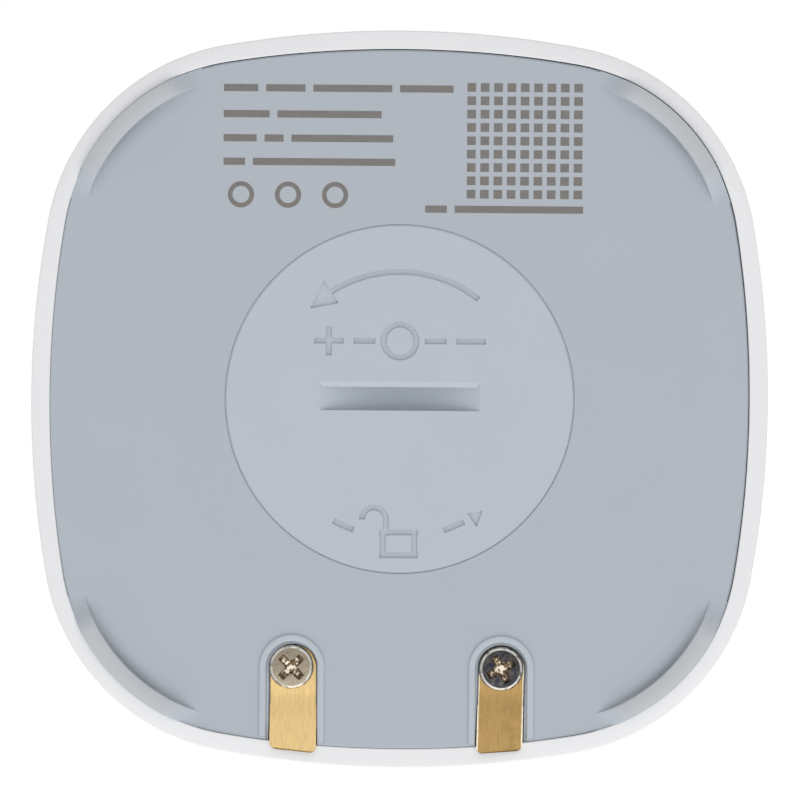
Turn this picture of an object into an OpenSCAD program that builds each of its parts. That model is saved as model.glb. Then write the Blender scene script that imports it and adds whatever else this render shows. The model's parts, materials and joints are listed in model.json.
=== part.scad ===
// Floor sensor that reports water bridging two brass contacts under its front edge.
// Frame: +Z up, standing on its feet, origin on the floor under the centre of the body.
// The front is -Y, the side with the contacts. Lengths are in millimetres.

/* [Outline] */
// Width of the body across its sides
body_w = 58; // [56:0.5:66]
// Radius of each corner
corner_r = 17; // [15:0.5:20]
// Angle that a side bows through, from its middle to where a corner starts
bow_a = 10.25; // [7:0.25:14]

/* [Top cover] */
// Wall of the top cover
cover_wall = 1.45; // [1.2:0.05:1.8]
// Thickness of the roof
cover_roof = 1.6; // [1.2:0.1:2.4]
// Radius of the soft edge round the roof
top_round = 8.5; // [6:0.5:9.5]
// Rounding of the rim's outer edge
rim_round = 0.6; // [0.3:0.1:0.9]
// Height of the rim's corners over the floor
rim_lift = 0.12; // [0.1:0.01:0.3]

/* [Base] */
// Height of the foot ribs, which is the gap that lets water in
foot_h = 0.8; // [0.6:0.05:1.2]
// Width of a foot rib
foot_w = 1.25; // [1:0.05:1.8]
// Angle that a foot rib takes of its corner
foot_span = 44; // [36:1:60]
// Length of the ramp at each end of a foot rib
foot_ramp = 2; // [0.8:0.1:3]
// Thickness of the base plate
base_t = 1.8; // [1.5:0.1:2.4]
// Chamfer round the base plate
base_chamfer = 0.2; // [0.1:0.05:0.4]
// Wall that stands up inside the cover
skirt_t = 2; // [1.6:0.1:2.6]
// Height of that wall over the base plate
skirt_h = 3.8; // [3.4:0.1:5]
// Cord of the seal between base and cover
seal_d = 1; // [0.8:0.05:1.2]
// Width of each of the four snaps that hold the base in the cover
snap_w = 8; // [5:0.5:12]
// Height of a snap
snap_h = 0.9; // [0.6:0.1:1.2]
// How far a snap reaches into the cover's wall
snap_reach = 0.35; // [0.2:0.05:0.5]

/* [Battery door] */
// Diameter of the door
door_d = 27.2; // [26.9:0.1:29]
// Thickness of the door's flange
door_t = 1.8; // [1.6:0.1:2.4]
// Gap round the door
door_gap = 0.15; // [0.1:0.01:0.3]
// Chamfer round the door's face
door_chamfer = 0.2; // [0.1:0.05:0.3]
// Cord of the seal round the door
door_cord = 0.9; // [0.7:0.05:1]
// Length of the coin slot
slot_l = 12.2; // [8:0.1:18]
// Width of the coin slot
slot_w = 1.85; // [1.4:0.05:2.4]
// Depth of the coin slot at its middle
slot_depth = 1.1; // [0.7:0.05:1.2]
// Wall of the plug behind the flange
plug_wall = 1.3; // [1:0.1:2]
// Gap between the plug and the well
plug_gap = 0.25; // [0.15:0.05:0.3]
// Reach of a bayonet lug beyond the plug
lug_reach = 1; // [0.7:0.05:1.1]
// Thickness of a lug
lug_t = 0.9; // [0.7:0.1:1.4]
// Angle that a lug takes
lug_span = 24; // [16:1:30]
// Thickness of the ledge that holds the lugs
ledge_t = 1.2; // [0.9:0.1:1.6]
// Angle from closed to open
door_turn = 40; // [30:1:45]
// Wall of the battery well round the door's seat
well_wall = 1.4; // [1:0.1:1.8]

/* [Coin cell] */
// Diameter of the coin cell
cell_d = 24.5; // [24:0.1:24.7]
// Height of the coin cell
cell_h = 5; // [3.2:0.1:6]
// Sheet of the cell's can and cap
cell_sheet = 0.3; // [0.2:0.05:0.4]
// Width of the crimp round the cap
cell_crimp = 1.5; // [1.2:0.1:2]
// Height of the cap over the crimp
cap_rise = 0.25; // [0.15:0.05:0.4]
// Thickness of the gasket between can and cap
gasket_t = 0.5; // [0.3:0.05:0.6]
// Depth of the gasket from the top of the cell
gasket_h = 2.2; // [1.8:0.1:2.4]
// Gap between the cell and its well
cell_gap = 0.25; // [0.15:0.05:0.3]
// Height of the cell that stands out of the well
cell_bare = 1.2; // [0.8:0.1:2]
// Sheet of the cell's contact springs
spring_t = 0.2; // [0.15:0.05:0.3]
// Width of the spring under the board
spring_w = 3.2; // [2:0.1:4]
// Width of the spring at the cell's side
side_spring_w = 4.4; // [3:0.1:5]
// Room between cell and board for the contact spring
spring_room = 1.04; // [1:0.02:1.6]

/* [Water contacts] */
// Distance between the two contacts
contact_pitch = 16.3; // [13:0.1:20]
// Width of a contact
contact_w = 3.66; // [3:0.02:4.2]
// Thickness of a contact
contact_t = 0.3; // [0.2:0.05:0.4]
// Distance of a contact's tip from the outer face of the body
tip_in = 1.2; // [1:0.05:2]
// Length from the screw to the tip
contact_l = 6.65; // [6:0.05:8]
// Length of the part that is bent down
bend_l = 3.55; // [3:0.05:4]
// Height of the tip over the floor
tip_lift = 0.2; // [0.1:0.05:0.3]
// Rounding of the tip's corners
tip_round = 0.5; // [0.3:0.05:0.9]
// Depth of the pocket that a contact lies in
pocket_depth = 0.9; // [0.8:0.05:1]
// Gap round a contact in its pocket
pocket_gap = 0.2; // [0.1:0.05:0.4]
// Width of the lip round a pocket
lip_w = 0.54; // [0.4:0.02:0.8]
// Height of that lip
lip_h = 0.25; // [0.1:0.05:0.35]
// Diameter of a contact screw's thread
screw_d = 2; // [1.6:0.1:2.2]
// Diameter of a contact screw's head
head_d = 3.3; // [3:0.05:3.6]
// Height of a contact screw's head
head_h = 0.9; // [0.7:0.05:1]
// Width across the cross recess
recess_l = 2.1; // [1.6:0.05:2.4]
// Width of one arm of the cross recess
recess_w = 0.5; // [0.4:0.05:0.7]
// Depth of the cross recess
recess_depth = 0.55; // [0.4:0.05:0.6]
// Length of a contact screw under its head
screw_l = 5; // [4:0.1:5.5]
// Diameter of a probe post
post_d = 3.4; // [3:0.1:3.8]
// Diameter of the collar that locks a post in the base
collar_d = 4.4; // [4.2:0.1:5]
// Thickness of that collar
collar_t = 0.7; // [0.5:0.1:1]
// Wall of the boss round a post
post_wall = 0.9; // [0.7:0.1:1.3]
// Height of that boss over the base plate
post_boss_h = 4.6; // [3:0.1:6]

/* [Board] */
// Thickness of the circuit board
board_t = 1; // [0.8:0.1:1.6]
// Gap between the board and the wall of the base
board_gap = 0.6; // [0.3:0.1:1]
// Room between the board and the roof
headroom = 2.3; // [2.25:0.05:4]
// Thread of the board screws
board_screw_d = 1.6; // [1.4:0.1:1.8]
// Head of the board screws
board_head_d = 3; // [2.6:0.1:3.2]
// Height of that head
board_head_h = 1; // [0.8:0.1:1.2]
// Length of a board screw under its head
board_screw_l = 4; // [3:0.1:4.5]
// Wall of the two rear bosses under the board
boss_wall = 1.5; // [1:0.1:2]
// Place of the rear bosses, outward from a corner's centre
boss_out = 4.6; // [3:0.1:6]

/* [Electronics] */
// Side of the radio module across the board
radio_w = 12; // [9:0.5:13]
// Side of the radio module along the board
radio_l = 14; // [10:0.5:16]
// Thickness of the module's own board
radio_t = 0.6; // [0.4:0.1:0.8]
// Height of the shield over it
shield_h = 1.2; // [0.9:0.1:1.3]
// Sheet of the shield
shield_sheet = 0.2; // [0.15:0.05:0.3]
// Side of the controller chip
chip_w = 7; // [5:0.5:8]
// Height of the controller chip
chip_h = 0.9; // [0.6:0.1:1.2]
// Length of a small part on the board
part_l = 1; // [0.6:0.1:1.6]
// Width and height of a small part
part_w = 0.5; // [0.3:0.05:0.8]
// Pitch of the small parts
part_pitch = 2.2; // [1.8:0.1:2.6]
// Side of the larger parts
store_w = 2.5; // [2:0.1:3]
// Height of the larger parts
store_h = 0.9; // [0.6:0.1:1.2]
// Gap between parts on the board
part_gap = 0.9; // [0.5:0.1:1.2]
// Distance of the aerial from the back of the body
aerial_in = 8.7; // [8.5:0.1:10]
// Length of the aerial
aerial_l = 24; // [16:0.5:26]
// Height of the aerial over the board
aerial_h = 1.8; // [1.2:0.1:2]
// Sheet of the aerial
aerial_sheet = 0.3; // [0.2:0.05:0.4]
// Width of the flat loop
loop_w = 2; // [1.2:0.1:2.2]
// Thickness of the flat loop
loop_t = 0.15; // [0.1:0.05:0.3]
// Diameter of the sounder's brass plate
sounder_d = 19; // [15:0.5:20]
// Thickness of that plate
sounder_t = 0.2; // [0.15:0.05:0.3]
// Diameter of the sounder's ceramic
ceramic_d = 14; // [11:0.5:15]
// Thickness of the ceramic
ceramic_t = 0.2; // [0.15:0.05:0.3]
// Width of a sounder lead
lead_w = 1.2; // [0.8:0.1:1.6]
// Length of a sounder lead along the board
lead_l = 2.2; // [1.8:0.1:3]
// Sheet of a sounder lead
lead_t = 0.15; // [0.1:0.01:0.2]
// Diameter of the window in the roof
pipe_d = 2.4; // [1.6:0.1:3]
// Flange of the light pipe under the roof
pipe_flange_d = 3.6; // [3.3:0.1:4.2]
// Thickness of that flange
pipe_flange_t = 0.5; // [0.3:0.1:0.7]
// Distance of the window from the front of the body
pipe_in = 13.5; // [13:0.5:15.5]
// Length of the status lamp
led_l = 1.6; // [1:0.1:2]
// Width of the status lamp
led_w = 0.8; // [0.5:0.1:1.2]
// Height of the status lamp
led_h = 0.7; // [0.5:0.1:0.9]
// Width of the reset switch
switch_w = 3; // [2.6:0.1:4]
// Height of the reset switch under the board
switch_h = 0.55; // [0.5:0.05:0.6]
// Diameter of the reset button
button_d = 1.4; // [1:0.1:1.6]
// Travel of the reset button
button_travel = 0.2; // [0.1:0.02:0.24]

/* [Clearances] */
// Between pieces that are fixed together
fit_gap = 0.05; // [0.03:0.01:0.1]
// Between pieces that move on each other
run_gap = 0.12; // [0.1:0.01:0.2]

/* [Hidden] */
$fn = 96;

// Heights of the stack, from the floor to the roof
face_z = foot_h;
base_top = face_z + base_t;
door_in = face_z + door_t;
ledge_z = door_in + run_gap;
lug_z = ledge_z + ledge_t + run_gap;
plug_end = lug_z + lug_t;
cell_z = plug_end + run_gap;
cell_top = cell_z + cell_h;
board_z = cell_top + spring_room;
board_top = board_z + board_t;
roof_z = board_top + headroom;
body_h = roof_z + cover_roof;
well_top = cell_top - cell_bare;

// Radius of the bowed sides, and the centres of the side and corner arcs
bow_q = cos(bow_a) - sin(bow_a);
side_r = (body_w / 2 - corner_r * bow_q) / (1 - bow_q);
side_off = side_r - body_w / 2;
corner_c = (side_r - corner_r) * sin(bow_a);

// Depths in from the outer face
edge_in = cover_wall + fit_gap + 0.07;
roof_band = top_round + 2.5;
base_band = edge_in + 8;
board_in = edge_in + skirt_t + board_gap;
board_band = board_in + 7;
loop_in = top_round + 0.5;

// The seal between base and cover
seal_in = cover_wall + fit_gap + seal_d / 2;
seal_low = base_top + 0.3;
seal_mid = seal_low + fit_gap + seal_d / 2;
seal_high = seal_mid + seal_d / 2 + fit_gap;
skirt_top = base_top + skirt_h;
snap_z = skirt_top - snap_h - 0.4;

// The door, its seat and the well
door_r = door_d / 2;
seat_r = door_r + door_gap;
well_r = cell_d / 2 + cell_gap;
plug_r = well_r - plug_gap;
lug_r = plug_r + lug_reach;
path_r = lug_r + run_gap;
well_out = seat_r + well_wall;
cord_r = seat_r - 0.06 - door_cord / 2;
cord_z = face_z + door_t / 2;
groove_r = cord_r - door_cord / 2 - fit_gap;
stop_a = 0.5;
side_spring_a = 60;
slot_r = (slot_l * slot_l / 4 + slot_depth * slot_depth) / (2 * slot_depth);

// The water contacts
contact_x = contact_pitch / 2;
tip_y = tip_in - body_w / 2;
screw_y = tip_y + contact_l;
bend_y = tip_y + bend_l;
pocket_z = face_z + pocket_depth;
contact_z = pocket_z - contact_t;
pocket_r = contact_w / 2 + pocket_gap;
lip_r = pocket_r + lip_w;
collar_z = base_top + 0.6;

// Places on the board
boss_at = corner_c + boss_out;
boss_r = board_screw_d / 2 + boss_wall;
board_screw_at = [[-contact_x, screw_y], [contact_x, screw_y], [-boss_at, boss_at], [boss_at, boss_at]];
radio_at = [-13.5, -1];
sounder_at = [4, 4];
chip_at = [9, -7.5];
aerial_y = body_w / 2 - aerial_in;
led_at = [0, pipe_in - body_w / 2];
switch_at = [0, 6.8];

// Moves by whole millimetres, then thousandths, then the rest, so a long decimal keeps all its digits
module shift(x, y) {
    whole = [floor(x), floor(y)];
    fine = [floor(1000 * (x - whole[0])) / 1000, floor(1000 * (y - whole[1])) / 1000];
    translate(whole) translate(fine) translate([x - whole[0] - fine[0], y - whole[1] - fine[1]]) children();
}

// Sweeps a section, drawn as depth in from the outer face against height, once round the outline
module round_outline() {
    for (q = [0:3]) {
        rotate(90 * q) {
            shift(-side_off, 0) rotate_extrude(angle = 2 * bow_a, start = -bow_a)
                shift(side_r, 0) mirror([1, 0]) children();
            round_corner() children();
        }
    }
}

// Sweeps the same kind of section round one corner
module round_corner() {
    shift(corner_c, corner_c) rotate_extrude(angle = 90 - 2 * bow_a, start = bow_a)
        translate([corner_r, 0]) mirror([1, 0]) children();
}

// The eight points where side and corner arcs meet, at a depth in from the outer face
function seam_points(depth) = [
    for (q = [0:3]) for (a = [bow_a, 90 - bow_a])
        let (p = [corner_c + (corner_r - depth) * cos(a), corner_c + (corner_r - depth) * sin(a)])
            [p[0] * cos(90 * q) - p[1] * sin(90 * q), p[0] * sin(90 * q) + p[1] * cos(90 * q)]
];

// Fills the middle of a swept band between two heights
module core(depth, low, high) {
    translate([0, 0, low]) linear_extrude(high - low) polygon(seam_points(depth));
}

// Section of a block from one depth and height to another
module block(depth, low, deeper, high) {
    translate([depth, low]) square([deeper - depth, high - low]);
}

// Section of a wall with a round shoulder where it turns into the roof
module shoulder(depth, low, high, r) {
    intersection() {
        block(depth, low, roof_band, high);
        union() {
            translate([depth + r, high - r]) circle(r);
            block(depth, low, roof_band, high - r);
            block(depth + r, low, roof_band, high);
        }
    }
}

// Keeps one corner's foot between its two ramps
module foot_wedge() {
    long = corner_r * sin(foot_span / 2);
    short = long - foot_ramp;
    translate([corner_c, corner_c, 0]) rotate([90, 0, 45 + 90]) mirror([0, 0, 1])
        translate([0, 0, -2 * corner_r]) linear_extrude(4 * corner_r)
            polygon([[-short, 0], [short, 0], [long, face_z], [long, 2 * face_z + 1],
                [-long, 2 * face_z + 1], [-long, face_z]]);
}

// Repeats a foot's section in the four corners
module feet() {
    for (q = [0:3]) {
        rotate(90 * q) intersection() {
            round_corner() children();
            foot_wedge();
        }
    }
}

// Outline of a strip that starts round a screw and runs to the front
module strip(r, end) {
    translate([0, screw_y]) circle(r);
    translate([-r, end]) square([2 * r, screw_y - end]);
}

// Outline of a contact, with its tip rounded
module contact_outline() {
    strip(contact_w / 2, tip_y + tip_round);
    for (side = [-1, 1]) translate([side * (contact_w / 2 - tip_round), tip_y + tip_round]) circle(tip_round);
    translate([tip_round - contact_w / 2, tip_y]) square([contact_w - 2 * tip_round, 2 * tip_round]);
}

// A ring sector between two radii and two heights
module sector(inner, outer, low, high, from, span) {
    rotate(from) rotate_extrude(angle = span) translate([inner, low]) square([outer - inner, high - low]);
}

// A sheet bent along a profile drawn as distance against height
module bent_sheet(width) {
    rotate([90, 0, 0]) translate([0, 0, -width / 2]) linear_extrude(width) children();
}

// A small box on the board, its bottom at a height
module chip(at, size, low) {
    translate([at[0] - size[0] / 2, at[1] - size[1] / 2, low]) cube(size);
}

module top_cover() {
    color([0.93, 0.93, 0.94]) difference() {
        union() {
            round_outline() difference() {
                union() {
                    shoulder(0, face_z + rim_round, body_h, top_round);
                    block(rim_round, face_z, roof_band, body_h - top_round);
                    translate([rim_round, face_z + rim_round]) circle(rim_round);
                }
                shoulder(cover_wall, face_z - 1, roof_z, top_round - cover_wall);
            }
            core(top_round, roof_z, body_h);
            feet() polygon([[cover_wall, rim_lift], [0.7, rim_lift], [0.25, rim_lift + 0.3],
                [0, face_z + rim_round], [cover_wall, face_z + rim_round]]);
        }
        translate([led_at[0], led_at[1], roof_z - 1]) cylinder(d = pipe_d + 2 * fit_gap, h = cover_roof + 2);
        for (q = [0:3]) {
            rotate(90 * q) translate([body_w / 2 - cover_wall - 1, -snap_w / 2 - fit_gap, snap_z - fit_gap])
                cube([1 + snap_reach + fit_gap, snap_w + 2 * fit_gap, snap_h + 2 * fit_gap]);
        }
    }
}

module bottom_cover() {
    color([0.69, 0.72, 0.75]) difference() {
        union() {
            round_outline() polygon([
                [edge_in + base_chamfer, face_z], [base_band, face_z], [base_band, base_top],
                [edge_in + skirt_t, base_top], [edge_in + skirt_t, skirt_top], [edge_in, skirt_top],
                [edge_in, seal_high], [seal_in + seal_d / 2 + fit_gap, seal_high],
                [seal_in + seal_d / 2 + fit_gap, seal_low], [edge_in, seal_low],
                [edge_in, face_z + base_chamfer]
            ]);
            core(base_band - 3, face_z, base_top);
            feet() polygon([[edge_in + 0.15, 0], [edge_in + foot_w, 0], [edge_in + foot_w, base_top - 0.5],
                [edge_in + base_chamfer, base_top - 0.5], [edge_in, face_z], [edge_in, 0.15]]);
            translate([0, 0, face_z]) cylinder(r = well_out, h = well_top - face_z);
            for (side = [-1, 1]) {
                translate([side * contact_x, screw_y, base_top - 0.5])
                    cylinder(d = collar_d + 2 * post_wall, h = post_boss_h + 0.5);
                translate([side * boss_at, boss_at, base_top - 0.5]) cylinder(r = boss_r, h = board_z - base_top + 0.5);
            }
            for (q = [0:3]) {
                rotate(90 * q) translate([body_w / 2 - edge_in - 0.6, -snap_w / 2, snap_z])
                    cube([0.6 + edge_in - cover_wall + snap_reach, snap_w, snap_h]);
            }
            intersection() {
                for (side = [-1, 1]) {
                    translate([side * contact_x, 0, face_z - lip_h]) linear_extrude(lip_h + 0.5)
                        strip(lip_r, -body_w / 2);
                }
                union() {
                    round_outline() block(edge_in + base_chamfer, face_z - lip_h - 1, base_band, base_top);
                    core(base_band - 3, face_z - lip_h - 1, base_top);
                }
            }
        }
        translate([0, 0, face_z - 1]) cylinder(r = seat_r, h = ledge_z - face_z + 1);
        translate([0, 0, ledge_z - 1]) cylinder(r = well_r, h = well_top - ledge_z + 2);
        for (q = [0:2]) {
            rotate(120 * q) {
                sector(well_r - 1, path_r, ledge_z + ledge_t, plug_end + run_gap,
                    -door_turn - lug_span / 2 - stop_a, door_turn + lug_span + 2 * stop_a);
                sector(well_r - 1, path_r, ledge_z - 0.5, ledge_z + ledge_t + 0.5,
                    -door_turn - lug_span / 2 - stop_a, lug_span + 2 * stop_a);
            }
        }
        for (side = [-1, 1]) translate([side * contact_x, 0, 0]) {
            translate([0, 0, -1]) linear_extrude(pocket_z + 1) strip(pocket_r, -body_w / 2);
            translate([0, screw_y, 0]) {
                cylinder(d = post_d + 2 * fit_gap, h = board_z);
                translate([0, 0, collar_z - fit_gap]) cylinder(d = collar_d + 2 * fit_gap, h = collar_t + 2 * fit_gap);
            }
            translate([side * (boss_at - contact_x), boss_at, board_z + board_t - board_screw_l - 0.5])
                cylinder(d = board_screw_d + 2 * fit_gap, h = board_screw_l);
        }
        rotate(side_spring_a) translate([plug_r - plug_wall, -side_spring_w / 2 - run_gap, plug_end + ledge_t])
            cube([well_out, side_spring_w + 2 * run_gap, well_top]);
    }
}

module housing_seal() {
    color([0.2, 0.2, 0.21]) round_outline() translate([seal_in, seal_mid]) circle(d = seal_d);
}

module battery_door() {
    color([0.72, 0.76, 0.79]) difference() {
        union() {
            rotate_extrude() polygon([
                [0, face_z], [door_r - door_chamfer, face_z], [door_r, face_z + door_chamfer],
                [door_r, cord_z - door_cord / 2 - fit_gap], [groove_r, cord_z - door_cord / 2 - fit_gap],
                [groove_r, cord_z + door_cord / 2 + fit_gap], [door_r, cord_z + door_cord / 2 + fit_gap],
                [door_r, door_in], [plug_r, door_in], [plug_r, plug_end],
                [plug_r - plug_wall, plug_end], [plug_r - plug_wall, door_in], [0, door_in]
            ]);
            for (q = [0:2]) sector(plug_r - plug_wall / 2, lug_r, lug_z, plug_end, 120 * q - lug_span / 2, lug_span);
        }
        translate([0, slot_w / 2, face_z + slot_depth - slot_r]) rotate([90, 0, 0]) cylinder(r = slot_r, h = slot_w);
    }
}

module door_seal() {
    color([0.16, 0.16, 0.17]) rotate_extrude() translate([cord_r, cord_z]) circle(d = door_cord);
}

// One brass contact in its pocket, at the centre of the front
module contact() {
    drop = contact_z - tip_lift;
    difference() {
        intersection() {
            translate([0, 0, -1]) linear_extrude(pocket_z + 2) contact_outline();
            translate([0, -body_w / 2, 0]) rotate([90, 0, 90]) translate([0, 0, -contact_w])
                linear_extrude(2 * contact_w) translate([body_w / 2, 0]) polygon([
                    [0, contact_z], [0, pocket_z], [bend_y, pocket_z], [tip_y, pocket_z - drop],
                    [tip_y, contact_z - drop], [bend_y, contact_z]
                ]);
        }
        translate([0, screw_y, 0]) cylinder(d = screw_d + 0.2, h = 2 * pocket_z);
    }
}

module left_contact() {
    color([0.8, 0.64, 0.36]) translate([-contact_x, 0, 0]) contact();
}

module right_contact() {
    color([0.8, 0.64, 0.36]) translate([contact_x, 0, 0]) contact();
}

// A pan-head screw with a cross recess, head down under a contact
module contact_screw(turn) {
    translate([0, screw_y, contact_z]) difference() {
        union() {
            rotate_extrude() polygon([
                [0, -head_h], [head_d / 2 - 0.45, -head_h], [head_d / 2 - 0.12, 0.3 - head_h],
                [head_d / 2, 0.6 - head_h], [head_d / 2, 0], [0, 0]
            ]);
            cylinder(d = screw_d - 2 * fit_gap, h = screw_l);
        }
        rotate(turn) translate([0, 0, -head_h - 1]) {
            translate([-recess_l / 2, -recess_w / 2, 0]) cube([recess_l, recess_w, 1 + recess_depth]);
            translate([-recess_w / 2, -recess_l / 2, 0]) cube([recess_w, recess_l, 1 + recess_depth]);
        }
    }
}

module left_contact_screw() {
    color([0.72, 0.7, 0.66]) translate([-contact_x, 0, 0]) contact_screw(20);
}

module right_contact_screw() {
    color([0.72, 0.7, 0.66]) translate([contact_x, 0, 0]) contact_screw(45);
}

// A brass post moulded into the base, threaded at both ends
module probe_post() {
    translate([0, screw_y, 0]) difference() {
        union() {
            translate([0, 0, pocket_z]) cylinder(d = post_d, h = board_z - pocket_z);
            translate([0, 0, collar_z]) cylinder(d = collar_d, h = collar_t);
        }
        translate([0, 0, pocket_z - 1]) cylinder(d = screw_d, h = contact_z + screw_l - pocket_z + 1.4);
        translate([0, 0, board_top - board_screw_l - 0.3]) cylinder(d = board_screw_d + 2 * fit_gap, h = board_screw_l);
    }
}

module left_probe_post() {
    color([0.78, 0.62, 0.35]) translate([-contact_x, 0, 0]) probe_post();
}

module right_probe_post() {
    color([0.78, 0.62, 0.35]) translate([contact_x, 0, 0]) probe_post();
}

// The cell: can below, cap above, a gasket between them under the crimp
module cell_can() {
    r = cell_d / 2;
    crimp_z = cell_h - cap_rise;
    color([0.76, 0.76, 0.77]) translate([0, 0, cell_z]) rotate_extrude() polygon([
        [0, 0], [r - cell_sheet, 0], [r, cell_sheet], [r, crimp_z - cell_sheet], [r - cell_sheet, crimp_z],
        [r - cell_crimp, crimp_z], [r - cell_crimp, crimp_z - cell_sheet],
        [r - cell_sheet, crimp_z - cell_sheet], [r - cell_sheet, cell_sheet], [0, cell_sheet]
    ]);
}

module cell_gasket() {
    r = cell_d / 2 - cell_sheet - fit_gap;
    top = cell_h - cap_rise - cell_sheet - fit_gap;
    color([0.88, 0.88, 0.86]) translate([0, 0, cell_z]) rotate_extrude() polygon([
        [r - gasket_t, cell_h - gasket_h], [r, cell_h - gasket_h], [r, top], [r - cell_crimp, top],
        [r - cell_crimp, top - cell_sheet], [r - gasket_t, top - cell_sheet]
    ]);
}

module cell_cap() {
    r = cell_d / 2 - cell_sheet - gasket_t - 2 * fit_gap;
    brim = cell_h - cap_rise - 2 * cell_sheet - 2 * fit_gap;
    neck = r - cell_crimp;
    color([0.78, 0.78, 0.79]) translate([0, 0, cell_z]) rotate_extrude() polygon([
        [0, cell_h], [neck - cell_sheet, cell_h], [neck, cell_h - cell_sheet], [neck, brim], [r, brim],
        [r, cell_h - gasket_h], [r - cell_sheet, cell_h - gasket_h], [r - cell_sheet, brim - cell_sheet],
        [neck - cell_sheet, brim - cell_sheet], [neck - cell_sheet, cell_h - cell_sheet], [0, cell_h - cell_sheet]
    ]);
}

module cell_core() {
    low = cell_sheet + fit_gap;
    step = cell_h - gasket_h - 2 * fit_gap;
    high = cell_h - cap_rise - 3 * cell_sheet - 4 * fit_gap;
    wide = cell_d / 2 - cell_sheet - fit_gap;
    narrow = wide - gasket_t - cell_sheet - 2 * fit_gap;
    color([0.25, 0.25, 0.27]) translate([0, 0, cell_z]) rotate_extrude()
        polygon([[0, low], [wide, low], [wide, step], [narrow, step], [narrow, high], [0, high]]);
}

module negative_spring() {
    t = spring_t;
    low = cell_top + fit_gap;
    arm = cell_d / 2 - cell_crimp - spring_w;
    color([0.75, 0.73, 0.68]) bent_sheet(spring_w) polygon([
        [-arm, board_z], [-arm, board_z - t], [-arm / 2, board_z - t], [arm / 3, low], [arm / 2, low],
        [2 * arm / 3, low + t], [2 * arm / 3, low + 2 * t], [arm / 2, low + t], [arm / 3 + t / 2, low + t],
        [t - arm / 2, board_z]
    ]);
}

module positive_spring() {
    t = spring_t;
    r = cell_d / 2 + fit_gap;
    touch = cell_z + cell_h / 2;
    color([0.75, 0.73, 0.68]) rotate(side_spring_a) bent_sheet(side_spring_w) polygon([
        [r + 2 * t, touch - 5 * t], [r + 3 * t, touch - 5 * t], [r + t, touch], [r + t, touch + 2 * t],
        [r + 3.5 * t, board_z - t], [r + side_spring_w / 2, board_z - t], [r + side_spring_w / 2, board_z],
        [r + 2.5 * t, board_z], [r, touch + 2.5 * t], [r, touch - t / 2]
    ]);
}

module main_board() {
    color([0.1, 0.36, 0.2]) difference() {
        union() {
            round_outline() block(board_in, board_z, board_band, board_top);
            core(board_band - 3, board_z, board_top);
        }
        for (p = board_screw_at) translate([p[0], p[1], board_z - 1]) cylinder(d = board_screw_d + 0.3, h = board_t + 2);
    }
}

module board_screws() {
    color([0.66, 0.66, 0.68]) for (p = board_screw_at) translate([p[0], p[1], board_top]) difference() {
        union() {
            cylinder(d = board_head_d, h = board_head_h);
            translate([0, 0, -board_screw_l]) cylinder(d = board_screw_d, h = board_screw_l);
        }
        translate([0, 0, board_head_h - 0.5]) {
            translate([-0.8, -0.2, 0]) cube([1.6, 0.4, 1]);
            translate([-0.2, -0.8, 0]) cube([0.4, 1.6, 1]);
        }
    }
}

module radio_board() {
    color([0.08, 0.24, 0.4]) chip(radio_at, [radio_w, radio_l, radio_t], board_top);
}

module radio_shield() {
    low = board_top + radio_t;
    color([0.78, 0.78, 0.79]) difference() {
        chip(radio_at, [radio_w - 1, radio_l - 2, shield_h], low);
        chip(radio_at, [radio_w - 1 - 2 * shield_sheet, radio_l - 2 - 2 * shield_sheet, shield_h], low - shield_sheet);
    }
}

module controller_chip() {
    color([0.12, 0.12, 0.13]) chip(chip_at, [chip_w, chip_w, chip_h], board_top);
}

module board_parts() {
    color([0.45, 0.36, 0.26]) {
        for (i = [-1.5:1.5]) {
            chip([led_at[0] + i * part_pitch, led_at[1] + pipe_flange_d / 2 + part_gap + part_w / 2],
                [part_l, part_w, part_w], board_top);
            chip([chip_at[0] + chip_w / 2 + part_gap + part_w / 2, chip_at[1] + i * part_pitch],
                [part_w, part_l, part_w], board_top);
        }
        for (end = [-1, 1]) {
            chip([radio_at[0], radio_at[1] + end * (radio_l / 2 + part_gap + store_w / 2)],
                [store_w, store_w, store_h], board_top);
        }
        chip([sounder_at[0] + sounder_d / 2 + part_gap + store_w / 2, sounder_at[1]],
            [store_w, store_w, store_h], board_top);
    }
}

module antenna_strip() {
    color([0.82, 0.78, 0.66]) translate([0, aerial_y, board_top]) {
        translate([-aerial_l / 2, -aerial_sheet / 2, 0.6]) cube([aerial_l, aerial_sheet, aerial_h - 0.6]);
        for (x = [-aerial_l / 2, -aerial_l / 2 + 4, aerial_l / 2 - 1]) {
            translate([x, -aerial_sheet / 2, 0]) cube([1, aerial_sheet, aerial_h]);
        }
    }
}

module nfc_loop() {
    color([0.72, 0.45, 0.2]) round_outline() block(loop_in, roof_z - loop_t, loop_in + loop_w, roof_z);
}

module buzzer_plate() {
    color([0.8, 0.65, 0.35]) translate([sounder_at[0], sounder_at[1], roof_z - sounder_t])
        cylinder(d = sounder_d, h = sounder_t);
}

module buzzer_ceramic() {
    color([0.9, 0.88, 0.82]) translate([sounder_at[0], sounder_at[1], roof_z - sounder_t - ceramic_t])
        cylinder(d = ceramic_d, h = ceramic_t);
}

// Two leaf leads: one up to the ceramic, one up to the plate beside it
module buzzer_springs() {
    plate_low = roof_z - sounder_t;
    reach = [plate_low - ceramic_t, plate_low];
    place = [[0, 0], [0, (ceramic_d + sounder_d) / 4 + 0.1]];
    t = lead_t;
    l = lead_l;
    color([0.75, 0.73, 0.68]) for (i = [0:1]) {
        top = reach[i] - fit_gap;
        translate([sounder_at[0] + place[i][0], sounder_at[1] + place[i][1], 0]) bent_sheet(lead_w) polygon([
            [-l, board_top], [0, board_top], [0, board_top + t], [4 * t - l, board_top + t], [-2 * t, top - t],
            [l / 4, top - t], [l / 4, top], [-3 * t, top], [-l, board_top + 2 * t]
        ]);
    }
}

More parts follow.
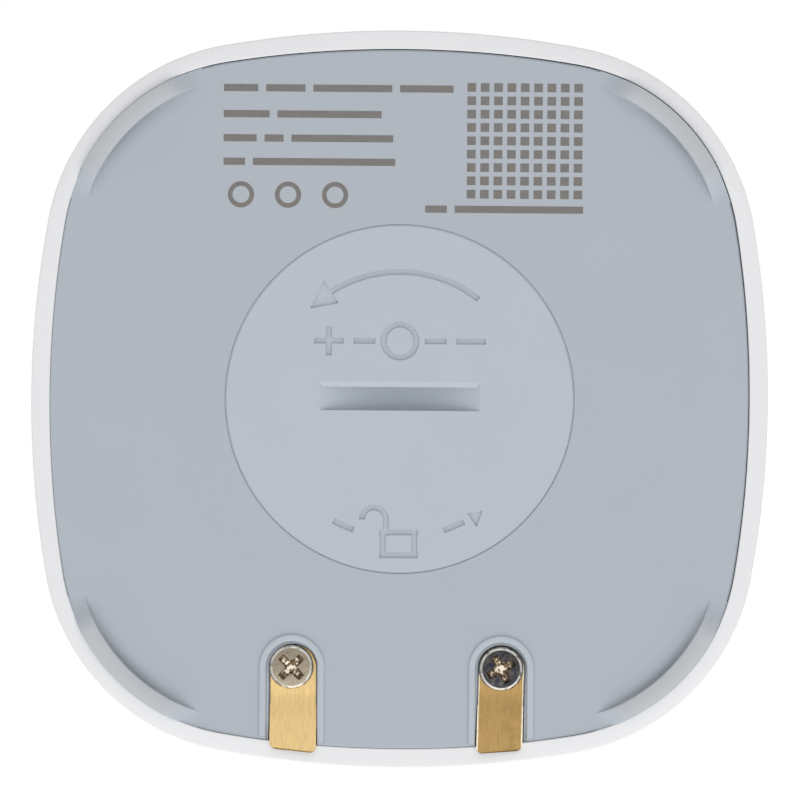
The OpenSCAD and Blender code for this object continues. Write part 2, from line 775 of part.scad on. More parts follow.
module status_led() {
    color([0.95, 0.95, 0.85]) chip(led_at, [led_l, led_w, led_h], board_top);
}

module light_pipe() {
    color([0.92, 0.95, 0.96]) translate([led_at[0], led_at[1], 0]) {
        translate([0, 0, roof_z - pipe_flange_t]) cylinder(d = pipe_flange_d, h = pipe_flange_t);
        translate([0, 0, roof_z]) cylinder(d = pipe_d, h = cover_roof);
        translate([0, 0, board_top + led_h + 0.2]) cylinder(d = pipe_d, h = roof_z - board_top - led_h - 0.2);
    }
}

module reset_switch() {
    low = board_z - switch_h;
    color([0.15, 0.15, 0.16]) difference() {
        chip(switch_at, [switch_w, switch_w, switch_h], low);
        translate([switch_at[0], switch_at[1], low - 1]) cylinder(d = button_d + run_gap, h = 1 + switch_h - 0.1);
        translate([switch_at[0], switch_at[1], low + 0.1])
            cylinder(d = button_d + 0.5 + run_gap, h = switch_h - 0.2);
    }
}

module reset_button() {
    low = board_z - switch_h;
    color([0.85, 0.84, 0.8]) translate([switch_at[0], switch_at[1], low]) {
        translate([0, 0, -0.25]) cylinder(d = button_d, h = 0.45);
        translate([0, 0, 0.12]) cylinder(d = button_d + 0.5, h = 0.08);
    }
}

top_cover();
bottom_cover();
housing_seal();
battery_door();
door_seal();
left_contact();
right_contact();
left_contact_screw();
right_contact_screw();
left_probe_post();
right_probe_post();
cell_can();
cell_cap();
cell_gasket();
cell_core();
negative_spring();
positive_spring();
main_board();
board_screws();
radio_board();
radio_shield();
controller_chip();
board_parts();
antenna_strip();
nfc_loop();
buzzer_plate();
buzzer_ceramic();
buzzer_springs();
status_led();
light_pipe();
reset_switch();
reset_button();
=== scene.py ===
"""Looks of a floor water sensor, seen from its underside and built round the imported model.

Lengths are in millimetres up to the point where a mesh or a node takes them in metres. The studio is in
metres. The frame is the model's own: +Z up, feet on the floor, contacts at -Y.
"""

import json
import logging
import math
from dataclasses import dataclass, field
from enum import Enum

import bmesh
import bpy
from mathutils import Matrix, Vector

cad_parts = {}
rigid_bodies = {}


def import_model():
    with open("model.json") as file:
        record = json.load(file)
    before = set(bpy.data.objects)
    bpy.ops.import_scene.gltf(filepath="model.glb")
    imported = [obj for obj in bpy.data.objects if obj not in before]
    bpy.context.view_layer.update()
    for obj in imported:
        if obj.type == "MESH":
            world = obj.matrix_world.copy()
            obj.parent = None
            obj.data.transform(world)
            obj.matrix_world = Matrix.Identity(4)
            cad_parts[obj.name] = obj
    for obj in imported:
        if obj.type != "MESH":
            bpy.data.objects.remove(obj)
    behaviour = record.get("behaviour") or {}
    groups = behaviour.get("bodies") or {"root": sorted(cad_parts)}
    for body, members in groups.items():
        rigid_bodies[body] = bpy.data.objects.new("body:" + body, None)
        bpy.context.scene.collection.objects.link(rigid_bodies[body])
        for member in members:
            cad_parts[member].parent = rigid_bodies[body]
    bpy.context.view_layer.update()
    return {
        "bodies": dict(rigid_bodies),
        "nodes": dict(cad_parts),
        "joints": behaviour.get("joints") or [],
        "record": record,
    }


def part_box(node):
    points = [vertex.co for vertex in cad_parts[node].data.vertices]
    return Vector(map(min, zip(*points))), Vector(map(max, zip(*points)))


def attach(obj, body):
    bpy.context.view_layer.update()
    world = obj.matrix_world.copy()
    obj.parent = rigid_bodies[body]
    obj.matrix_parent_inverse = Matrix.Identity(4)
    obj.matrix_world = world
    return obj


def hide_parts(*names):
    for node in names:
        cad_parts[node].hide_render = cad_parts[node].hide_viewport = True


MM = 0.001
QUARTER = math.pi / 2.0
DIAGONAL = math.sqrt(0.5)
LOG = logging.getLogger("water_sensor")
Colour = tuple[float, float, float]
Point = tuple[float, float]
Mesh = bpy.types.Mesh
Node = bpy.types.Node


class Body(Enum):
    """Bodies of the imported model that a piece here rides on."""

    HOUSING = "housing"
    DOOR = "door"


class Side(Enum):
    """Side of the body, as the sign of its X."""

    LEFT = -1
    RIGHT = 1


class Join(Enum):
    """Ways in which a tool shape changes a piece."""

    ADD = "UNION"
    CUT = "DIFFERENCE"


class Value:
    """An output of a node that takes part in sums."""

    def __init__(self, graph: "Graph", socket: bpy.types.NodeSocket) -> None:
        """Keeps the socket and the graph that its sums go into."""
        self.graph = graph
        self.socket = socket

    def __add__(self, other: object) -> "Value":
        """Returns the sum."""
        return self.graph.math("ADD", self, other)

    def __sub__(self, other: object) -> "Value":
        """Returns the difference."""
        return self.graph.math("SUBTRACT", self, other)

    def __rsub__(self, other: object) -> "Value":
        """Returns the difference from a plain number."""
        return self.graph.math("SUBTRACT", other, self)

    def __mul__(self, other: object) -> "Value":
        """Returns the product."""
        return self.graph.math("MULTIPLY", self, other)

    def __truediv__(self, other: object) -> "Value":
        """Returns the quotient."""
        return self.graph.math("DIVIDE", self, other)

    def __lt__(self, other: object) -> "Value":
        """Returns 1 where this is the smaller one, and 0 elsewhere."""
        return self.graph.math("LESS_THAN", self, other)

    def __abs__(self) -> "Value":
        """Returns the value without its sign."""
        return self.graph.math("ABSOLUTE", self)

    __radd__ = __add__
    __rmul__ = __mul__


class Graph:
    """Adds and joins the nodes of one tree."""

    def __init__(self, tree: bpy.types.NodeTree) -> None:
        """Keeps the tree that nodes go into."""
        self.tree = tree

    def fill(self, node: Node, inputs: dict) -> None:
        """Links inputs of a node, or sets their own values.

        Args:
            node: Node that takes them.
            inputs: Values of the graph or plain values, by name or place.
        """
        for key, value in inputs.items():
            if isinstance(value, Value):
                self.tree.links.new(value.socket, node.inputs[key])
            else:
                node.inputs[key].default_value = value

    def node(self, kind: str, inputs: dict | None = None, **settings: object) -> Node:
        """Makes one node.

        Args:
            kind: Type of the node.
            inputs: Values for its inputs, by name or place.
            **settings: Properties of the node itself.

        Returns:
            The new node.
        """
        made = self.tree.nodes.new(kind)
        for key, value in settings.items():
            setattr(made, key, value)
        self.fill(made, inputs or {})
        return made

    def add(self, kind: str, inputs: dict | None = None, output: int | str = 0, **settings: object) -> Value:
        """Makes one node and returns one of its outputs, by name or place."""
        return Value(self, self.node(kind, inputs, **settings).outputs[output])

    def math(self, operation: str, *values: object) -> Value:
        """Returns the result of an operation on values or numbers."""
        return self.add("ShaderNodeMath", dict(enumerate(values)), operation=operation)

    def blend(self, low: object, high: object, share: object) -> Value:
        """Returns the value at a share of the way from low to high."""
        return share * (high - low) + low

    def mix(self, share: Value, first: object, second: object) -> Value:
        """Returns the mix of two colours by a share."""
        tones = [(*tone, 1.0) if isinstance(tone, tuple) else tone for tone in (first, second)]
        return self.add("ShaderNodeMix", {0: share, 6: tones[0], 7: tones[1]}, 2, data_type="RGBA")

    def span(self, value: Value, low: float, high: float, start: object = 0.0, end: object = 1.0,
             soft: bool = False) -> Value:
        """Maps a value from one range to another.

        Args:
            value: Value that is mapped.
            low: Result at the start of the range.
            high: Result at its end.
            start: Start of the range.
            end: End of the range.
            soft: Whether the change eases in and out.

        Returns:
            The result, kept between low and high.
        """
        inputs = dict(enumerate((value, start, end, low, high)))
        return self.add("ShaderNodeMapRange", inputs, interpolation_type="SMOOTHSTEP" if soft else "LINEAR")

    def noise(self, place: Value, size: float, detail: float = 2.0) -> Value:
        """Returns a noise value at a place, with the size of its cells."""
        return self.add("ShaderNodeTexNoise", {"Vector": place, "Scale": 1.0 / size, "Detail": detail})

    def split(self, vector: Value) -> list[Value]:
        """Returns the three parts of a vector."""
        return [Value(self, part) for part in self.node("ShaderNodeSeparateXYZ", {0: vector}).outputs]

    def join(self, x: object = 0.0, y: object = 0.0, z: object = 0.0) -> Value:
        """Returns a vector made of three parts."""
        return self.add("ShaderNodeCombineXYZ", {"X": x, "Y": y, "Z": z})

    def base(self, shader: Node) -> Value:
        """Returns the colour that a shader has so far."""
        return Value(self, shader.inputs["Base Color"].links[0].from_socket)

    def find(self, kind: str) -> Node:
        """Returns the node of a type that the tree starts with."""
        return next(node for node in self.tree.nodes if node.type == kind)


def new_material(title: str) -> tuple[Graph, Node, Value]:
    """Makes a node material.

    Args:
        title: Name of the material.

    Returns:
        Its graph, its surface shader and the Object coordinates in millimetres.
    """
    made = bpy.data.materials.new(title)
    made.use_nodes = True
    graph = Graph(made.node_tree)
    place = graph.add("ShaderNodeTexCoord", None, "Object")
    scaled = graph.add("ShaderNodeVectorMath", {0: place, "Scale": 1.0 / MM}, operation="SCALE")
    return graph, graph.find("BSDF_PRINCIPLED"), scaled


@dataclass(frozen=True)
class Finish:
    """A surface finish, as one node material.

    Attributes:
        name: Name of the material.
        colour: Linear base colour.
        roughness: Mean roughness.
        drift: Share by which the colour wanders over the surface.
        cloud: Size of the patches that it wanders in.
    """

    name: str
    colour: Colour
    roughness: float = 0.5
    drift: float = 0.03
    cloud: float = 5.0

    def material(self) -> bpy.types.Material:
        """Returns the material, made the first time it is asked for."""
        title = self.name + "_finish"
        if title not in bpy.data.materials:
            self.paint(*new_material(title))
        return bpy.data.materials[title]

    def tone(self, graph: Graph, share: Value, change: float) -> Value:
        """Returns the colour, from darker to lighter by a change."""
        dark = tuple(part * (1.0 - change) for part in self.colour)
        light = tuple(min(part * (1.0 + change), 1.0) for part in self.colour)
        return graph.mix(share, dark, light)

    def paint(self, graph: Graph, shader: Node, place: Value) -> None:
        """Joins the finish to the shader.

        Args:
            graph: Graph of the material.
            shader: Its surface shader.
            place: Object coordinates in millimetres.
        """
        patch = graph.noise(place, self.cloud, 3.0)
        rough = graph.span(patch, self.roughness - 0.05, self.roughness + 0.05)
        graph.fill(shader, {"Base Color": self.tone(graph, patch, self.drift), "Roughness": rough})

    def grain(self, graph: Graph, shader: Node, height: Value, depth: float, strength: float = 1.0) -> None:
        """Adds relief of a depth to the shader, by a height from 0 to 1."""
        inputs = {"Height": height, "Distance": depth * MM, "Strength": strength}
        graph.fill(shader, {"Normal": graph.add("ShaderNodeBump", inputs)})


@dataclass(frozen=True)
class MouldedPlastic(Finish):
    """Moulded plastic with the fine spark-eroded grain of its tool."""

    pore: float = 0.12
    relief: float = 0.004

    def paint(self, graph: Graph, shader: Node, place: Value) -> None:
        """Adds the tool's grain to the plain finish."""
        super().paint(graph, shader, place)
        coarse = graph.noise(place, self.pore)
        fine = graph.noise(place, self.pore / 2.7, 1.0)
        self.grain(graph, shader, graph.blend(coarse, fine, 0.4), self.relief)
        graph.fill(shader, {"Specular IOR Level": 0.4})


@dataclass(frozen=True)
class BrushedMetal(Finish):
    """Metal brushed or rolled along one direction.

    Attributes:
        along: Spacing of the streaks on X, Y and Z.
        contrast: Share by which streaks differ in tone.
        tarnish: Colour of the stains.
        stain: How much of the surface is stained.
    """

    along: Colour = (0.05, 2.2, 0.05)
    contrast: float = 0.16
    tarnish: Colour = (0.3, 0.2, 0.08)
    stain: float = 0.0

    def paint(self, graph: Graph, shader: Node, place: Value) -> None:
        """Lays streaks, stains and relief over a metal base."""
        scale = tuple(1.0 / size for size in self.along)
        streak = graph.noise(graph.add("ShaderNodeMapping", {"Vector": place, "Scale": scale}), 1.0, 4.0)
        tone = self.tone(graph, graph.span(streak, 0.0, 1.0, 0.3, 0.7), self.contrast)
        if self.stain:
            cover = graph.span(graph.noise(place, self.cloud, 4.0), 0.0, self.stain, 0.52, 0.72, True)
            tone = graph.mix(cover, tone, self.tarnish)
        rough = graph.span(streak, self.roughness - 0.08, self.roughness + 0.08)
        graph.fill(shader, {"Base Color": tone, "Roughness": rough, "Metallic": 1.0})
        self.grain(graph, shader, streak, 0.004, 0.5)


@dataclass(frozen=True)
class FootPlastic(MouldedPlastic):
    """Plastic of the foot ribs, paler than the plate and fading into the plate's colour at their ends.

    Attributes:
        plain: Colour at the ends of a rib.
        start: Distance from a corner's diagonal at which the colour starts to fade.
        end: Distance at which it has faded.
    """

    plain: Colour = (0.445, 0.485, 0.535)
    start: float = 3.4
    end: float = 5.9

    def paint(self, graph: Graph, shader: Node, place: Value) -> None:
        """Fades the paler colour out along each rib."""
        super().paint(graph, shader, place)
        x, y = graph.split(place)[:2]
        share = graph.span(abs(abs(x) - abs(y)) * DIAGONAL, 0.0, 1.0, self.start, self.end, True)
        graph.fill(shader, {"Base Color": graph.mix(share, graph.base(shader), self.plain)})


@dataclass(frozen=True)
class ContactMetal(BrushedMetal):
    """Brass strip metal with a painted highlight along its sheared sides and a painted shadow at its end.

    Attributes:
        middle_x: Distance of the strip's middle from the body's.
        half_width: Half the width of the strip.
        tip_y: Y of its tip.
        skew: Slope of the tip's end, which follows the bowed front.
        lean: How far the strip leans inwards, for each millimetre from its screw.
        screw_y: Y of the screw that it turns about.
        painted_highlight: Colour of the painted highlight along the sides.
        glint: How strong the painted highlight along the sides is.
        dark: Colour of the end, which is in shadow.
    """

    middle_x: float = 8.21
    half_width: float = 1.83
    tip_y: float = -27.9
    skew: float = 0.1
    lean: float = 0.0
    screw_y: float = -21.15
    painted_highlight: Colour = (0.98, 0.92, 0.72)
    glint: float = 0.95
    dark: Colour = (0.13, 0.08, 0.03)

    def paint(self, graph: Graph, shader: Node, place: Value) -> None:
        """Lays the painted highlight along the sides and the painted shadow at the end over the brushed face.
        """
        super().paint(graph, shader, place)
        x, y = graph.split(place)[:2]
        across = abs(x) - self.middle_x - (y - self.screw_y) * self.lean
        # Painted highlight: the sides are lightened towards the shine colour, broken up by noise.
        edge = graph.span(self.half_width - abs(across), self.glint, 0.0, 0.05, 0.15)
        broken = graph.span(graph.noise(place, 0.5), 0.7, 1.0, 0.35, 0.55)
        tone = graph.mix(edge * broken, graph.base(shader), self.painted_highlight)
        # Painted shadow: the colour darkens towards the end.
        tip = y - (across + self.half_width) * self.skew - self.tip_y
        shadow = graph.span(tip, 0.8, 0.0, 0.04, 0.16)
        graph.fill(shader, {"Base Color": graph.mix(shadow, tone, self.dark)})


@dataclass(frozen=True)
class ScrewMetal(BrushedMetal):
    """Plated screw metal: a dull face with a painted dark reflection on the -X head, a painted highlight round
    the edge, and painted shade with painted glints in the recess.

    Attributes:
        middle_x: X of a head's middle, alike on both sides.
        middle_y: Y of a head's middle.
        shift_x: How far the head on the +X side sits off its place.
        shift_y: How far the head on the -X side sits off its place.
        face: Height of the face.
        edge: Radius at which the painted highlight round the edge starts.
        recess: Radius that the recess stays in.
        painted_highlight: Colour of the painted highlight round the edge.
        polished: Colour of the painted dark reflection on the face on the -X side.
        pit: Colour of the painted shade deep in the recess.
        spark: Colour of the painted glints there.
    """

    middle_x: float = 8.15
    middle_y: float = -21.15
    shift_x: float = 0.22
    shift_y: float = -0.05
    face: float = 0.5
    edge: float = 1.46
    recess: float = 1.32
    painted_highlight: Colour = (0.60, 0.58, 0.54)
    polished: Colour = (0.034, 0.036, 0.044)
    pit: Colour = (0.14, 0.095, 0.055)
    spark: Colour = (0.74, 0.66, 0.56)

    def paint(self, graph: Graph, shader: Node, place: Value) -> None:
        """Lays the painted edge highlight, the painted dark reflection and the recess's painted shade and
        glints over the brushed face.
        """
        super().paint(graph, shader, place)
        x, y, z = graph.split(place)
        left = x < 0.0
        across = abs(x) - graph.blend(self.middle_x + self.shift_x, self.middle_x, left)
        along = y - graph.blend(self.middle_y, self.middle_y + self.shift_y, left)
        radius = graph.math("SQRT", across * across + along * along)
        # Noise that breaks up the painted dark reflection and the painted edge highlight.
        highlight_break_noise = graph.noise(place, self.cloud, 3.0)
        # Painted dark reflection on the -X head's face.
        dark_reflection_share = left * graph.span(highlight_break_noise, 0.8, 1.0, 0.4, 0.6)
        tone = graph.mix(dark_reflection_share, graph.base(shader), self.polished)
        # Painted highlight round the edge of each head.
        edge_highlight_share = graph.span(radius, 0.0, 1.0, self.edge, self.edge + 0.08)
        tone = graph.mix(edge_highlight_share * graph.span(highlight_break_noise, 0.2, 1.0, 0.38, 0.5), tone, self.painted_highlight)
        # Painted glints and painted shade in the recess, the shade growing deeper down.
        glint_share = graph.span(graph.noise(place, 0.28, 1.0) - radius * 0.2, 0.0, 1.0, 0.37, 0.48)
        sunk = graph.span(z, 0.0, 0.95, self.face + 0.02, self.face + 0.2)
        recess_shading = graph.mix(glint_share, self.pit, self.spark)
        graph.fill(shader, {"Base Color": graph.mix((radius < self.recess) * sunk, tone, recess_shading)})


@dataclass(frozen=True)
class Lacquer(Finish):
    """Glossy solder lacquer over a woven board."""

    weave: float = 0.5

    def paint(self, graph: Graph, shader: Node, place: Value) -> None:
        """Adds the weave that shows through the lacquer."""
        super().paint(graph, shader, place)
        wave = {"Vector": place, "Scale": 0.16 / self.weave, "Distortion": 0.6}
        self.grain(graph, shader, graph.add("ShaderNodeTexWave", wave, 1), 0.004, 0.5)
        graph.fill(shader, {"Coat Weight": 0.6})


@dataclass(frozen=True)
class ClearPlastic(Finish):
    """Clear moulded plastic that passes light."""

    def paint(self, graph: Graph, shader: Node, place: Value) -> None:
        """Makes the plain finish see-through."""
        super().paint(graph, shader, place)
        graph.fill(shader, {"Transmission Weight": 0.75, "IOR": 1.49})


COVER = MouldedPlastic("cover_white", (0.83, 0.835, 0.85), 0.5, 0.012, 9.0, 0.10, 0.003)
BASE = MouldedPlastic("base_grey", (0.445, 0.485, 0.535), 0.52, 0.02, 7.0, 0.11, 0.004)
LIP = MouldedPlastic("lip_grey", (0.488, 0.53, 0.58), 0.46, 0.02, 3.0, 0.11, 0.002)
FOOT = FootPlastic("foot_grey", (0.505, 0.525, 0.552), 0.42, 0.02, 3.0, 0.11, 0.002)
DOOR = MouldedPlastic("door_grey", (0.487, 0.535, 0.595), 0.52, 0.02, 5.0, 0.12, 0.005)
INK = Finish("pad_print", (0.19, 0.18, 0.168), 0.7, 0.18, 0.4)
NICKEL = ScrewMetal("screw_nickel", (0.275, 0.24, 0.182), 0.3, 0.0, 0.45, (0.06, 0.06, 0.2), 0.35,
                    (0.2, 0.165, 0.12), 0.6)
WINDOW = ClearPlastic("window_clear", (0.86, 0.90, 0.92), 0.12, 0.01)
# One brass for both contacts: the +X contact's lighter and the -X contact's darker base colour are painted
# reflection, and their stains are tarnish.
STRIP_METAL = {
    Side.RIGHT: ContactMetal("contact_brass_painted_lit", (0.672, 0.483, 0.224), 0.36, 0.0, 1.6, (0.035, 0.9, 0.9),
                             0.15, (0.5, 0.33, 0.12), 0.25, glint=0.08),
    Side.LEFT: ContactMetal("contact_brass_painted_shade", (0.403, 0.26, 0.102), 0.36, 0.0, 1.6, (0.035, 0.9, 0.9),
                            0.19, (0.27, 0.165, 0.055), 0.4, 8.195, 1.8, lean=0.025),
}
PACKED_FINISHES = (
    (MouldedPlastic("seal_rubber", (0.03, 0.03, 0.032), 0.75, 0.1, 1.0), "housing_seal", "door_seal"),
    (BrushedMetal("post_brass", (0.62, 0.43, 0.17), 0.3, along=(1.0, 1.0, 0.05)), "left_probe_post",
     "right_probe_post"),
    (BrushedMetal("cell_steel", (0.62, 0.62, 0.63), 0.28, along=(0.3, 0.05, 1.0)), "cell_can", "cell_cap"),
    (Finish("cell_filler", (0.05, 0.05, 0.055), 0.9, 0.2, 0.3), "cell_core"),
    (MouldedPlastic("cell_ring", (0.74, 0.74, 0.70), 0.45, 0.03, 1.0), "cell_gasket"),
    (BrushedMetal("spring_steel", (0.60, 0.57, 0.50), 0.3, along=(1.0, 0.05, 1.0)), "negative_spring",
     "positive_spring", "buzzer_springs"),
    (Lacquer("board_green", (0.012, 0.11, 0.035), 0.35, 0.15, 1.5), "main_board"),
    (BrushedMetal("board_screw_steel", (0.46, 0.46, 0.48), 0.35, along=(0.2, 0.2, 0.2)), "board_screws"),
    (Lacquer("module_blue", (0.01, 0.05, 0.14), 0.35, 0.15, 1.5), "radio_board"),
    (BrushedMetal("shield_tin", (0.62, 0.62, 0.63), 0.3, along=(0.05, 1.5, 1.0)), "radio_shield"),
    (MouldedPlastic("chip_black", (0.015, 0.015, 0.016), 0.6, 0.15, 0.6), "controller_chip"),
    (Finish("parts_tan", (0.20, 0.13, 0.07), 0.5, 0.2, 0.3), "board_parts"),
    (BrushedMetal("aerial_metal", (0.66, 0.60, 0.45), 0.3, along=(2.0, 0.1, 0.05)), "antenna_strip"),
    (BrushedMetal("loop_copper", (0.50, 0.20, 0.07), 0.35, along=(0.3, 0.3, 0.1)), "nfc_loop"),
    (BrushedMetal("sounder_brass", (0.62, 0.42, 0.15), 0.3, along=(0.05, 2.0, 1.0)), "buzzer_plate"),
    (Finish("sounder_white", (0.78, 0.75, 0.65), 0.6, 0.04, 0.6), "buzzer_ceramic"),
    (ClearPlastic("lamp_cream", (0.88, 0.86, 0.70), 0.2, 0.03, 0.5), "status_led"),
    (MouldedPlastic("switch_black", (0.02, 0.02, 0.022), 0.55, 0.1, 0.6), "reset_switch"),
    (MouldedPlastic("button_cream", (0.68, 0.66, 0.60), 0.5, 0.03, 0.6), "reset_button"),
)


def place_object(name: str, data: bpy.types.ID) -> bpy.types.Object:
    """Returns a new object of the scene that shows a mesh, a lamp or a camera."""
    made = bpy.data.objects.new(name, data)
    bpy.context.scene.collection.objects.link(made)
    return made


def make_mesh(points: list, faces: list = (), edges: list = ()) -> Mesh:
    """Makes a mesh from plain lists.

    Args:
        points: Corners.
        faces: Lists of corner numbers.
        edges: Pairs of corner numbers, where it has no faces.

    Returns:
        The mesh, its faces turned outwards.
    """
    mesh = bpy.data.meshes.new("shape")
    mesh.from_pydata([tuple(part * MM for part in point) for point in points], edges, faces)
    if faces:
        heal(mesh)
    return mesh


def heal(mesh: Mesh) -> None:
    """Merges doubles, closes open loops with a flat face and turns faces outwards."""
    work = bmesh.new()
    work.from_mesh(mesh)
    bmesh.ops.remove_doubles(work, verts=work.verts, dist=1e-7)
    bmesh.ops.holes_fill(work, edges=[edge for edge in work.edges if edge.is_boundary], sides=0)
    bmesh.ops.recalc_face_normals(work, faces=work.faces)
    work.to_mesh(mesh)
    work.free()


def flatten(carrier: bpy.types.Object) -> Mesh:
    """Returns the evaluated shape of an object as a plain mesh, and removes the object."""
    bpy.context.view_layer.update()
    depsgraph = bpy.context.evaluated_depsgraph_get()
    mesh = bpy.data.meshes.new_from_object(carrier.evaluated_get(depsgraph), depsgraph=depsgraph)
    bpy.data.objects.remove(carrier)
    return mesh


def work_mesh(mesh: Mesh, tools: list[Mesh], join: Join) -> Mesh:
    """Adds tool shapes to a mesh or cuts them away.

    Args:
        mesh: Mesh that is worked on.
        tools: Closed tool shapes, which may overlap.
        join: What the tools do.

    Returns:
        The new mesh.
    """
    work = bmesh.new()
    for tool in tools:
        work.from_mesh(tool)
    merged = bpy.data.meshes.new("tools")
    work.to_mesh(merged)
    work.free()
    cutter = place_object("cutter", merged)
    carrier = place_object("carrier", mesh)
    step = carrier.modifiers.new("step", "BOOLEAN")
    step.operation = join.value
    step.solver = "EXACT"
    step.use_self = True
    step.object = cutter
    made = flatten(carrier)
    bpy.data.objects.remove(cutter)
    return made


def moved(mesh: Mesh, x: float = 0.0, y: float = 0.0, turn: float = 0.0) -> Mesh:
    """Returns the mesh after turning it about Z, in degrees, and moving it."""
    mesh.transform(Matrix.Translation((x * MM, y * MM, 0.0)) @ Matrix.Rotation(math.radians(turn), 4, "Z"))
    return mesh


def set_strip(mesh: Mesh, side: Side) -> Mesh:
    """Returns a shape from the middle of the front after turning and moving it to a contact's place."""
    metal = STRIP_METAL[side]
    turned = moved(moved(mesh, y=-metal.screw_y), turn=-side.value * math.degrees(metal.lean))
    return moved(turned, side.value * metal.middle_x, metal.screw_y)


def even(start: float, end: float, steps: int) -> list[float]:
    """Returns evenly spaced numbers with both ends."""
    return [start + (end - start) * step / steps for step in range(steps + 1)]


def polar(radius: float, angle: float) -> Point:
    """Returns the point at a radius and an angle in degrees."""
    return radius * math.cos(math.radians(angle)), radius * math.sin(math.radians(angle))


def loft(rings: list[list]) -> Mesh:
    """Returns the closed mesh of rings of corners that follow each other."""
    count = len(rings[0])
    points = [corner for ring in rings for corner in ring]
    last = len(points) - count
    faces = [list(range(count)), list(range(last, last + count))]
    for first in range(0, last, count):
        for place in range(count):
            after = (place + 1) % count
            faces.append([first + place, first + after, first + count + after, first + count + place])
    return make_mesh(points, faces)


def prism(outline: list[Point], low: float, high: float, draft: float = 0.0) -> Mesh:
    """Makes an upright prism, narrower at its high end where it has draft.

    Args:
        outline: Corners of its section at the low end, in order.
        low: Height of the low end.
        high: Height of the high end.
        draft: How far the section draws in over the height.

    Returns:
        The closed mesh.
    """
    inner = draw_in(outline, draft)
    return loft([[(x, y, low) for x, y in outline], [(x, y, high) for x, y in inner]])


def draw_in(outline: list[Point], distance: float) -> list[Point]:
    """Returns an outline drawn in by a distance on every side."""
    following = outline[1:] + outline[:1]
    area = sum(a[0] * b[1] - b[0] * a[1] for a, b in zip(outline, following))
    hand = math.copysign(1.0, area) * distance
    result = []
    for before, here, after in zip(outline[-1:] + outline[:-1], outline, following):
        first = Vector((here[0] - before[0], here[1] - before[1])).normalized()
        second = Vector((after[0] - here[0], after[1] - here[1])).normalized()
        normal = Vector((-first.y - second.y, first.x + second.x))
        step = normal * (hand / max(normal.length_squared / 2.0, 0.2))
        result.append((here[0] + step.x, here[1] + step.y))
    return result


def lathe(profile: list[Point], sides: int = 192) -> Mesh:
    """Turns a profile of radius and height, from axis to axis, about the Z axis."""
    angles = even(0.0, 360.0, sides)[:-1]
    return loft([[(*polar(radius, angle), height) for angle in angles] for radius, height in profile])


def rod(radius: float, low: float, high: float, sides: int = 64) -> Mesh:
    """Returns a closed round rod on the Z axis."""
    return lathe([(0.0, low), (radius, low), (radius, high), (0.0, high)], sides)


def ring_sector(inner: float, outer: float, start: float, end: float, steps: int = 24) -> list[Point]:
    """Returns the outline of a ring sector between two radii and two angles in degrees."""
    rim = [polar(outer, angle) for angle in even(start, end, steps)]
    return rim + [polar(inner, angle) for angle in even(end, start, steps)]


def bar(length: float, width: float, x: float = 0.0, y: float = 0.0) -> list[Point]:
    """Returns the outline of a bar about a point."""
    corners = ((-0.5, -0.5), (0.5, -0.5), (0.5, 0.5), (-0.5, 0.5))
    return [(x + along * length, y + across * width) for along, across in corners]


def strip_head(half: float, top: float, reach: float, steps: int = 32) -> list[Point]:
    """Returns the round head of a strip about a Y, from its right side to its left."""
    circle = [polar(1.0, angle) for angle in even(0.0, 180.0, steps)]
    return [(half * x, top + reach * y) for x, y in circle]


def hand_over(name: str, mesh: Mesh, finish: Finish, sharp: float, body: Body, slot: str,
              *nodes: str) -> None:
    """Makes a finished piece of a mesh.

    Args:
        name: Name of the piece.
        mesh: Its mesh, in place.
        finish: Its only finish.
        sharp: Angle in degrees up to which it is smooth.
        body: Body that it rides on.
        slot: Slot of the record that its finish belongs to; it is not used.
        *nodes: Nodes that it stands for.
    """
    mesh.name = name
    mesh.materials.clear()
    mesh.materials.append(finish.material())
    mesh.shade_smooth()
    mesh.set_sharp_from_angle(angle=math.radians(sharp))
    piece = place_object(name, mesh)
    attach(piece, body.value)
    if nodes:
        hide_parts(*nodes)
    LOG.info("%s: %d faces on %s", name, len(mesh.polygons), body.value)


